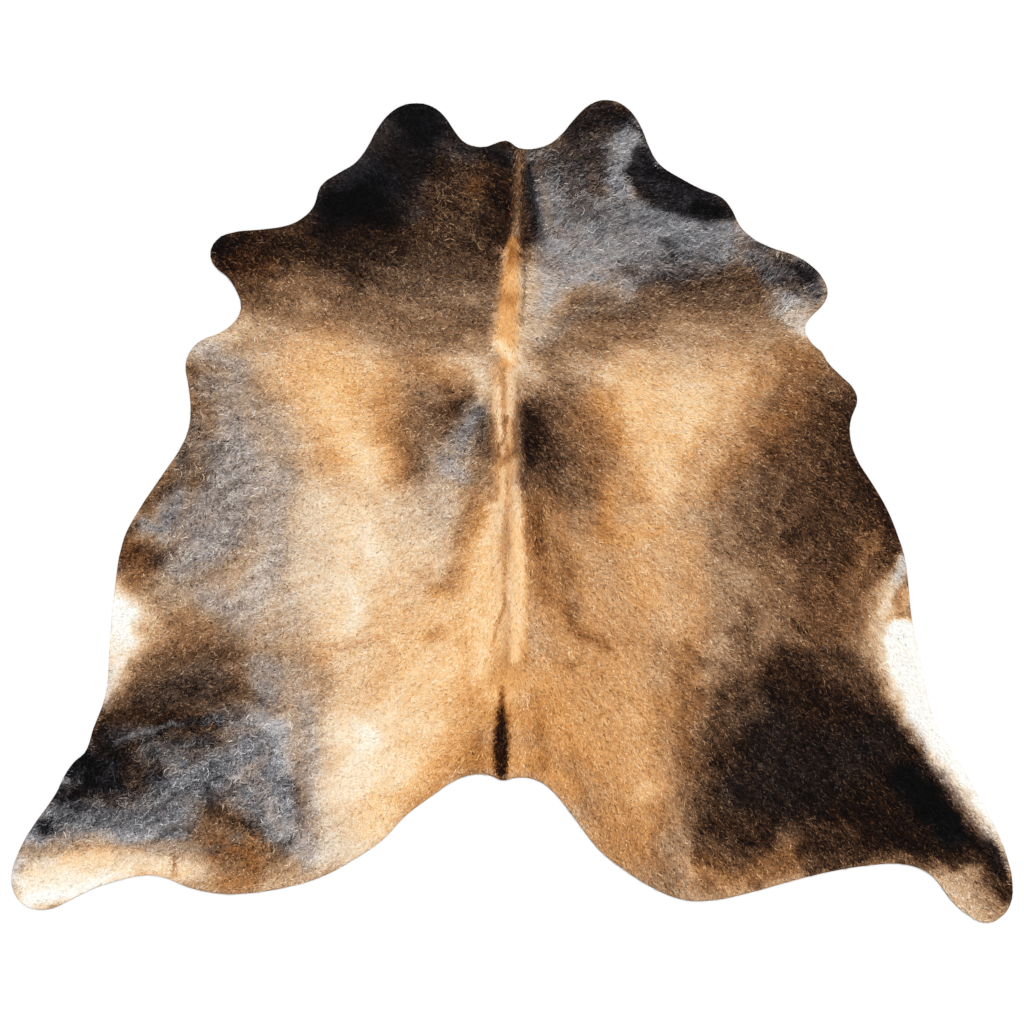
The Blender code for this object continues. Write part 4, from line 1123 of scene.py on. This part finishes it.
def comb(x, y):
    """The direction that the hair lies in at each point, as the angle of the guides' mean.

    The hair beside the backbone turns to lie straight down it, in a narrower band on the neck.
    """
    across = np.zeros(x.shape)
    along = np.zeros(x.shape)
    for gx, gy, angle in LIE_OF_COAT:
        pull = 1 / ((x / CM - gx) ** 2 + (y / CM - gy) ** 2 + GUIDE_REACH**2) ** 1.5
        across += pull * math.cos(math.radians(angle))
        along += pull * math.sin(math.radians(angle))
    strength = np.hypot(across, along)
    reach = PARTING_ON_NECK + PARTING_WIDENING * smooth((NECK_FROM - y) / NECK_FADE)
    down = 1 - smooth(off_backbone(x, y) / reach)
    return np.arctan2(along / strength * (1 - down) - down, across / strength * (1 - down))


def pointing(angle):
    """The unit vector (cos, sin) of each angle."""
    return np.stack([np.cos(angle), np.sin(angle)], axis=1)


def streaks(x, y, lie, size, seed):
    """Random streaks that follow the hair: hills `size` across, added up at steps along it."""
    steps = size * STREAK_STEPS
    trail = (hills(x + step * np.cos(lie), y + step * np.sin(lie), size, seed) for step in steps)
    return STREAK_GAIN * sum(trail)


def root_places(count, marks, rng):
    """Even, jittered places for the hairs' roots: a grid with the middle of each cell shaken.

    Where marks are given, they paint the share of the places that are kept.
    """
    pitch = math.sqrt(HIDE_AREA / count)
    u = np.arange(math.floor(CAD_BOX[0][0] / pitch), math.ceil(CAD_BOX[1][0] / pitch))
    v = np.arange(math.floor(CAD_BOX[0][1] / pitch), math.ceil(CAD_BOX[1][1] / pitch))
    x, y = (part.ravel() * pitch for part in np.meshgrid(u + 0.5, v + 0.5, indexing="ij"))
    x += pitch * rng.uniform(-ROOT_SHAKE, ROOT_SHAKE, x.shape)
    y += pitch * rng.uniform(-ROOT_SHAKE, ROOT_SHAKE, x.shape)
    keep = rim_depth(x, y) > EDGE_CLEARANCE
    if marks:
        keep &= rng.random(len(x)) < paint(x, y, marks, 0.0)
    return x[keep], y[keep]


def hair_colours(x, y, lie, chance_share, rng):
    """Each hair's tone and warmth: the markings where it lies, with the mixed hairs of the coat.

    Roan hair, which is cool and of middling tone, is dark and white hairs side by side, so it
    swings most. Dark ground has a few pale hairs in it and pale ground a few dark ones, so chance
    leans on the long tail of an exponential there, and is even between. Where long hair grows,
    the places that the markings are read at are shaken first, so that their borders are ragged.
    """
    ragged = paint(x, y, LONG_HAIR_MARKS, 0.0)
    x = x + RAGGED_REACH * ragged * hills(x, y, RAGGED_SIZE, RAGGED_SEEDS[0])
    y = y + RAGGED_REACH * ragged * hills(x, y, RAGGED_SIZE, RAGGED_SEEDS[1])
    tone = paint(x, y, TONE_MARKS, BASE_TONE)
    warmth = paint(x, y, WARMTH_MARKS, BASE_WARMTH)
    golden_swing = np.interp(tone, SWING_TONES, GOLDEN_SWING)
    cool_swing = np.interp(tone, SWING_TONES, COOL_SWING)
    calm = paint(x, y, CALM_MARKS, 0.0)
    swing = (cool_swing + (golden_swing - cool_swing) * warmth) * (1 - calm)
    lean = np.interp(tone, LEAN_TONES, LEANS)
    chance = lean * (rng.standard_exponential(len(x)) - 1)
    chance = chance + np.sqrt(1 - lean**2) * rng.standard_normal(len(x))
    stray = chance_share * np.clip(chance, -MOST_STRAY, MOST_STRAY)
    blotching = COOL_BLOTCHES + (GOLDEN_BLOTCHES - COOL_BLOTCHES) * warmth + LONG_HAIR_BLOTCHES * ragged
    drift = STREAK_SHARE * streaks(x, y, lie, STREAK_SIZE, STREAK_SEED)
    drift += BLOTCH_SHARE * blotching * streaks(x, y, lie, BLOTCH_SIZE, BLOTCH_SEED)
    mixed = tone + swing * (drift + stray)
    mixed = np.clip(mixed, TONE_LEAST, np.maximum(tone + TONE_PASS, TONE_MOST))
    warmth = warmth + WARMTH_SPREAD * rng.normal(0, 1, x.shape)
    return mixed, np.clip(warmth, MAP_EDGE, 1 - MAP_EDGE)


def held_inside(places):
    """The places, with those past the cut edge moved straight back inside it.

    Back is the way in which the depth inside the edge grows fastest, read a millimetre off on
    every side.
    """
    x, y = places.T
    uphill = np.stack(
        [rim_depth(x + MM, y) - rim_depth(x - MM, y), rim_depth(x, y + MM) - rim_depth(x, y - MM)],
        axis=1,
    )
    steepness = np.maximum(np.hypot(*uphill.T), TINY)
    back = np.clip(EDGE_CLEARANCE - rim_depth(x, y), 0, MOST_DRAWN_BACK)
    return places + uphill * (back / steepness)[:, None]


def blades(x, y, heading, turn, length, width, shares, lift, rng):
    """Flat curved blades of hair: for each its root, a pair of sides at each share, and its tip.

    A blade is an arc that turns through `turn` in its length. Its point at a share t of the
    length lies length * t from the root, in the direction heading + turn (t - 1) / 2, and the
    pair there stands square to heading + turn (t - 1/2). The root is sunk in the coat, and the
    rest lies near the coat's top. A blade that would reach past the cut edge is moved inside it,
    and nothing lies lower than HAIR_LEAST.
    """
    reach = pointing(heading) * length[:, None]
    tips = held_inside(np.stack([x, y], axis=1) + reach)
    roots = tips - reach
    rows = [np.column_stack([roots, coat_top(*roots.T) - ROOT_DEPTH])]
    roll = rng.normal(0, ROLL, x.shape) * width
    for share in shares:
        middle = roots + pointing(heading + turn * (share - 1) / 2) * (share * length)[:, None]
        half = pointing(heading + turn * (share - 0.5) + math.pi / 2) * (width / 2)[:, None]
        height = coat_top(*middle.T) + lift + rng.uniform(-SIDE_SHAKE, SIDE_SHAKE, x.shape) * MM
        rows.append(np.column_stack([held_inside(middle - half), height - roll]))
        rows.append(np.column_stack([held_inside(middle + half), height + roll]))
    height = coat_top(*tips.T) + lift + rng.uniform(-TIP_SHAKE, TIP_SHAKE, x.shape) * MM
    rows.append(np.column_stack([tips, height]))
    points = np.stack(rows, axis=1)
    points[..., 2] = np.maximum(points[..., 2], HAIR_LEAST)
    return points


def blade_faces(count, pairs):
    """The triangles of `count` blades: a point, a strip from pair to pair, and a point."""
    one = [(0, 1, 2)]
    for a in range(1, 2 * pairs - 1, 2):
        one += [(a, a + 2, a + 1), (a + 1, a + 2, a + 3)]
    one.append((2 * pairs, 2 * pairs - 1, 2 * pairs + 1))
    first = (2 * pairs + 2) * np.arange(count)
    return (first[:, None, None] + np.array(one)).reshape(-1, 3)


def lay_hair(material, names, seed, count, length, width, curl, shares, lift, chance_share, marks=()):
    """One layer of the coat, as one piece for each name, in bands from the tail to the neck.

    A hair's place in its map is its tone and its warmth. The tip is a little lighter than the
    root, and one side a little warmer than the other, so that the place is a small area.
    """
    rng = np.random.default_rng(seed)
    x, y = root_places(count, marks, rng)
    lie = comb(x, y)
    on_left = smooth((SPREAD_TURNS_AT - x) / SPREAD_TURNS_OVER)
    spread = RIGHT_SPREAD + (LEFT_SPREAD - RIGHT_SPREAD) * on_left
    heading = lie + rng.normal(0, 1, x.shape) * spread
    turn = rng.normal(0, 1, x.shape) * curl
    lengths = length * rng.uniform(*LENGTHS, x.shape)
    widths = width * rng.uniform(*WIDTHS, x.shape)
    places = blades(x, y, heading, turn, lengths, widths, shares, lift, rng)
    x += COLOUR_FROM * lengths * np.cos(heading)
    y += COLOUR_FROM * lengths * np.sin(heading)
    tone, warmth = hair_colours(x, y, lie, chance_share, rng)
    points_a_hair = places.shape[1]
    lightness = np.linspace(-TIP_LIGHT, TIP_LIGHT, points_a_hair)
    side_warmth = SIDE_WARMTH * np.cos(np.pi * np.arange(points_a_hair))
    colours = np.stack([tone[:, None] + lightness, warmth[:, None] + side_warmth], axis=2)
    pieces = []
    for name, part in zip(names, np.array_split(np.argsort(y), len(names))):
        faces = blade_faces(len(part), len(shares))
        piece = make_piece(name, places[part].reshape(-1, 3), faces, [material])
        give_map(piece, "OFBake", colours[part].reshape(-1, 2))
        pieces.append(piece)
    return pieces


# ---------------------------------------------------------------- putting materials together
class Value:
    """A number socket that takes +, - and *, on either side, by adding its Math node."""

    def __init__(self, finish, socket):
        self.finish = finish
        self.socket = socket

    def output(self, place):
        """The output at that place of the same node."""
        return Value(self.finish, self.socket.node.outputs[place])

    def combine(self, operation, first, second):
        """The Math node of that operation on two values."""
        return self.finish.add("ShaderNodeMath", {"operation": operation}, {0: first, 1: second})

    def __add__(self, other):
        return self.combine("ADD", self, other)

    def __radd__(self, other):
        return self.combine("ADD", other, self)

    def __sub__(self, other):
        return self.combine("SUBTRACT", self, other)

    def __rsub__(self, other):
        return self.combine("SUBTRACT", other, self)

    def __mul__(self, other):
        return self.combine("MULTIPLY", self, other)

    def __rmul__(self, other):
        return self.combine("MULTIPLY", other, self)


class Finish:
    """A material being put together around its Principled shader."""

    def __init__(self, name, **constants):
        self.material = bpy.data.materials.new(name)
        self.material.use_nodes = True
        self.tree = self.material.node_tree
        self.shader = self.tree.nodes["Principled BSDF"]
        for socket, value in constants.items():
            self.shader.inputs[socket.replace("_", " ")].default_value = value

    def add(self, kind, settings=None, sockets=None, out=0):
        """Adds a node: its type, its settings, then the value or link of each named socket."""
        node = self.tree.nodes.new(kind)
        for key, value in (settings or {}).items():
            if key == "stops":
                set_stops(node.color_ramp, value)
            else:
                setattr(node, key, value)
        for key, value in (sockets or {}).items():
            self.feed(node.inputs[key], value)
        return Value(self, node.outputs[out])

    def feed(self, socket, value):
        """Links a socket to a wrapped one, or sets it to a plain number, vector or colour."""
        if isinstance(value, Value):
            self.tree.links.new(value.socket, socket)
        else:
            socket.default_value = value

    def mix(self, share, first, second):
        """A colour part way from the first to the second."""
        settings = {"data_type": "RGBA"}
        return self.add("ShaderNodeMix", settings, {0: share, 6: first, 7: second}, out=2)

    def noise(self, size, detail=3.0):
        """Cloudy noise from 0 to 1 whose clouds are about `size` across, in metres."""
        place = self.add("ShaderNodeTexCoord", out=3)
        sockets = {"Vector": place, "Scale": 1 / size, "Detail": detail, "Roughness": 0.5}
        return self.add("ShaderNodeTexNoise", None, sockets)

    def bump(self, height, strength, distance):
        """A bumped normal from a height."""
        sockets = {"Strength": strength, "Distance": distance, "Height": height}
        return self.add("ShaderNodeBump", None, sockets)

    def paint_shader(self, **links):
        """Links what varies to the Principled shader's own sockets."""
        for socket, value in links.items():
            self.feed(self.shader.inputs[socket.replace("_", " ")], value)
        return self.material


def set_stops(ramp, stops):
    """Gives a ramp its stops, each a place from 0 to 1 and a colour."""
    while len(ramp.elements) < len(stops):
        ramp.elements.new(1.0)
    for element, (place, colour) in zip(ramp.elements, stops):
        element.position = place
        element.color = colour


# ---------------------------------------------------------------- the hide's finishes
# The hair's colours are set for the studio's light: what it reflects, and what its sheen adds.
COAT_GAIN = 0.73
SHEEN_LIGHT = 0.0045
DARKEST_HAIR = 0.0008
RAMP_STOPS = 17
# Pale hair is a little glossier than black hair.
BLACK_HAIR_ROUGHNESS = 0.62
PALE_HAIR_GLOSS = 0.10
# The skin between the hairs shows the markings darker, as painted shade, and a little mottled.
SKIN_TONE_SHARE = 0.8
SKIN_SHADOW = 0.08
SKIN_MOTTLING = 0.10
SKIN_GRAIN = 3 * MM
SKIN_GRAIN_DEPTH = 0.6 * MM
SKIN_ROUGHNESS = 0.7
SKIN_GRAIN_ROUGHNESS = 0.1
# The suede back: its two shades, and the clouds and the fine nap that mix them.
SUEDE_SHADE = (0.305, 0.262, 0.222, 1.0)
SUEDE_LIGHT = (0.520, 0.462, 0.400, 1.0)
SUEDE_CLOUDS = 90 * MM
SUEDE_CLOUD_SHARE = 0.6
SUEDE_NAP_SHARE = 0.4
SUEDE_NAP = 1.6 * MM
SUEDE_NAP_DEPTH = 0.3 * MM
SUEDE_ROUGHNESS = 0.82
SUEDE_NAP_ROUGHNESS = 0.12


def linear(display):
    """A display colour, 0 to 255, as the linear light that makes it, by the sRGB curve."""
    share = np.array(display) / 255
    return np.where(share <= 0.04045, share / 12.92, ((share + 0.055) / 1.055) ** 2.4)


def hair_ramp(finish, tone, golden_share):
    """A ramp of hair from black to white, at one share of golden between the two tables.

    Its even stops are the display colours that the studio's light should give, turned to what
    the hair itself must reflect: scaled by the gain, less what its sheen adds.
    """
    stops = []
    for place in np.linspace(0, 1, RAMP_STOPS):
        cool, golden = (
            np.array([np.interp(place, TONES, channel) for channel in zip(*table)])
            for table in (COOL_HAIR, GOLDEN_HAIR)
        )
        light = COAT_GAIN * linear(cool + (golden - cool) * golden_share) - SHEEN_LIGHT
        stops.append((float(place), (*np.clip(light, DARKEST_HAIR, 1), 1.0)))
    return finish.add("ShaderNodeValToRGB", {"stops": stops}, {0: tone})


def hair_colour(finish, tone, warmth):
    """The hair's colour from its tone and warmth: three ramps from black to white, mixed."""
    cool, brown, golden = (hair_ramp(finish, tone, share) for share in (0.0, 0.5, 1.0))
    return finish.mix(2 * warmth - 1, finish.mix(2 * warmth, cool, brown), golden)


def coat_finish():
    """Short satin hair. Its map holds each hair's tone in u and its warmth in v."""
    finish = Finish("coat_hair", Specular_IOR_Level=0.04)
    place = finish.add("ShaderNodeUVMap", {"uv_map": "OFBake"})
    tone = finish.add("ShaderNodeSeparateXYZ", None, {0: place})
    warmth = tone.output(1)
    colour = hair_colour(finish, tone, warmth)
    roughness = BLACK_HAIR_ROUGHNESS - PALE_HAIR_GLOSS * tone
    return finish.paint_shader(Base_Color=colour, Roughness=roughness)


def grain_side_finish():
    """The skin's upper side at the foot of the hair: the markings' colours in painted shade."""
    finish = Finish("skin_under_coat", Specular_IOR_Level=0.08)
    tone = finish.add("ShaderNodeAttribute", {"attribute_name": "tone"}, out=2)
    warmth = finish.add("ShaderNodeAttribute", {"attribute_name": "warmth"}, out=2)
    grain = finish.noise(SKIN_GRAIN)
    # Painted shade: the markings' tone is scaled down and lowered, for the shadow between the hairs.
    shaded = SKIN_TONE_SHARE * tone + SKIN_MOTTLING * grain - SKIN_SHADOW
    colour = hair_colour(finish, shaded, warmth)
    roughness = SKIN_ROUGHNESS + SKIN_GRAIN_ROUGHNESS * grain
    bump = finish.bump(grain, strength=0.4, distance=SKIN_GRAIN_DEPTH)
    return finish.paint_shader(Base_Color=colour, Roughness=roughness, Normal=bump)


def flesh_side_finish():
    """The suede back and the cut edge: pale grey-tan, clouded, with a fine nap."""
    finish = Finish("suede_back", Specular_IOR_Level=0.15)
    clouds = finish.noise(SUEDE_CLOUDS, detail=4.0)
    nap = finish.noise(SUEDE_NAP, detail=2.0)
    share = SUEDE_CLOUD_SHARE * clouds + SUEDE_NAP_SHARE * nap
    base = finish.mix(share, SUEDE_SHADE, SUEDE_LIGHT)
    roughness = SUEDE_ROUGHNESS + SUEDE_NAP_ROUGHNESS * nap
    bump = finish.bump(nap, strength=0.6, distance=SUEDE_NAP_DEPTH)
    return finish.paint_shader(Base_Color=base, Roughness=roughness, Normal=bump)


# ---------------------------------------------------------------- the studio
FLOOR_HALF = 9.0
FLOOR_BELOW = 0.5 * MM
FLOOR_LIGHT = 0.63
FLOOR_SHADE = 0.995 * FLOOR_LIGHT
FLOOR_CLOUDS = 0.4
DOME_LIGHT = 0.95
KEY_LIGHT = 2.75
KEY_TILT = math.radians(36)
KEY_TURN = math.radians(-20)
KEY_SOFTNESS = math.radians(24)
CAMERA_HEIGHT = 3.1257
CAMERA_Y = -1.1 * MM
# The lens and the sensor are in millimetres.
LENS = 50
SENSOR = 36


def floor_finish():
    """A plain pale studio floor."""
    finish = Finish("studio_floor", Specular_IOR_Level=0.2, Roughness=0.8)
    shade, light = ((grey, grey, grey, 1.0) for grey in (FLOOR_SHADE, FLOOR_LIGHT))
    clouds = finish.noise(FLOOR_CLOUDS, detail=2.0)
    return finish.paint_shader(Base_Color=finish.mix(clouds, shade, light))


def studio_floor():
    """A level floor just under the hide: one square, as far to each side of the origin."""
    u, v = np.meshgrid([-FLOOR_HALF, FLOOR_HALF], [-FLOOR_HALF, FLOOR_HALF])
    points = np.stack([u.ravel(), v.ravel(), np.full(4, -FLOOR_BELOW)], axis=1)
    return make_piece("studio_floor", points, np.array([[0, 1, 3, 2]]), [floor_finish()])


def studio_light():
    """An even pale dome, and one wide soft key from beyond the neck."""
    world = bpy.data.worlds.new("pale_dome")
    world.use_nodes = True
    background = world.node_tree.nodes["Background"]
    background.inputs["Color"].default_value = (1.0, 1.0, 1.0, 1.0)
    background.inputs["Strength"].default_value = DOME_LIGHT
    bpy.context.scene.world = world
    key = bpy.data.lights.new("soft_key", "SUN")
    key.energy = KEY_LIGHT
    key.angle = KEY_SOFTNESS
    lamp = bpy.data.objects.new("soft_key", key)
    lamp.rotation_euler = (-KEY_TILT, 0.0, KEY_TURN)
    bpy.context.scene.collection.objects.link(lamp)


def studio_camera():
    """A lens straight above the middle of the picture, with the neck at the top."""
    lens = bpy.data.cameras.new("above")
    lens.lens = LENS
    lens.sensor_width = SENSOR
    camera = bpy.data.objects.new("above", lens)
    camera.location = (0.0, CAMERA_Y, CAMERA_HEIGHT)
    bpy.context.scene.collection.objects.link(camera)
    bpy.context.scene.camera = camera


bpy.context.scene.view_settings.view_transform = "Standard"

skin = hide_skin(grain_side_finish(), flesh_side_finish())
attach(skin, "root")
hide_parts("hide")
hair = coat_finish()
coat = lay_hair(hair, **UNDER_HAIR)
coat += lay_hair(hair, **TOP_HAIR)
coat += lay_hair(hair, marks=LONG_HAIR_MARKS, **LONG_HAIR)
for piece in coat:
    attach(piece, "root")
studio_floor()
studio_light()
studio_camera()
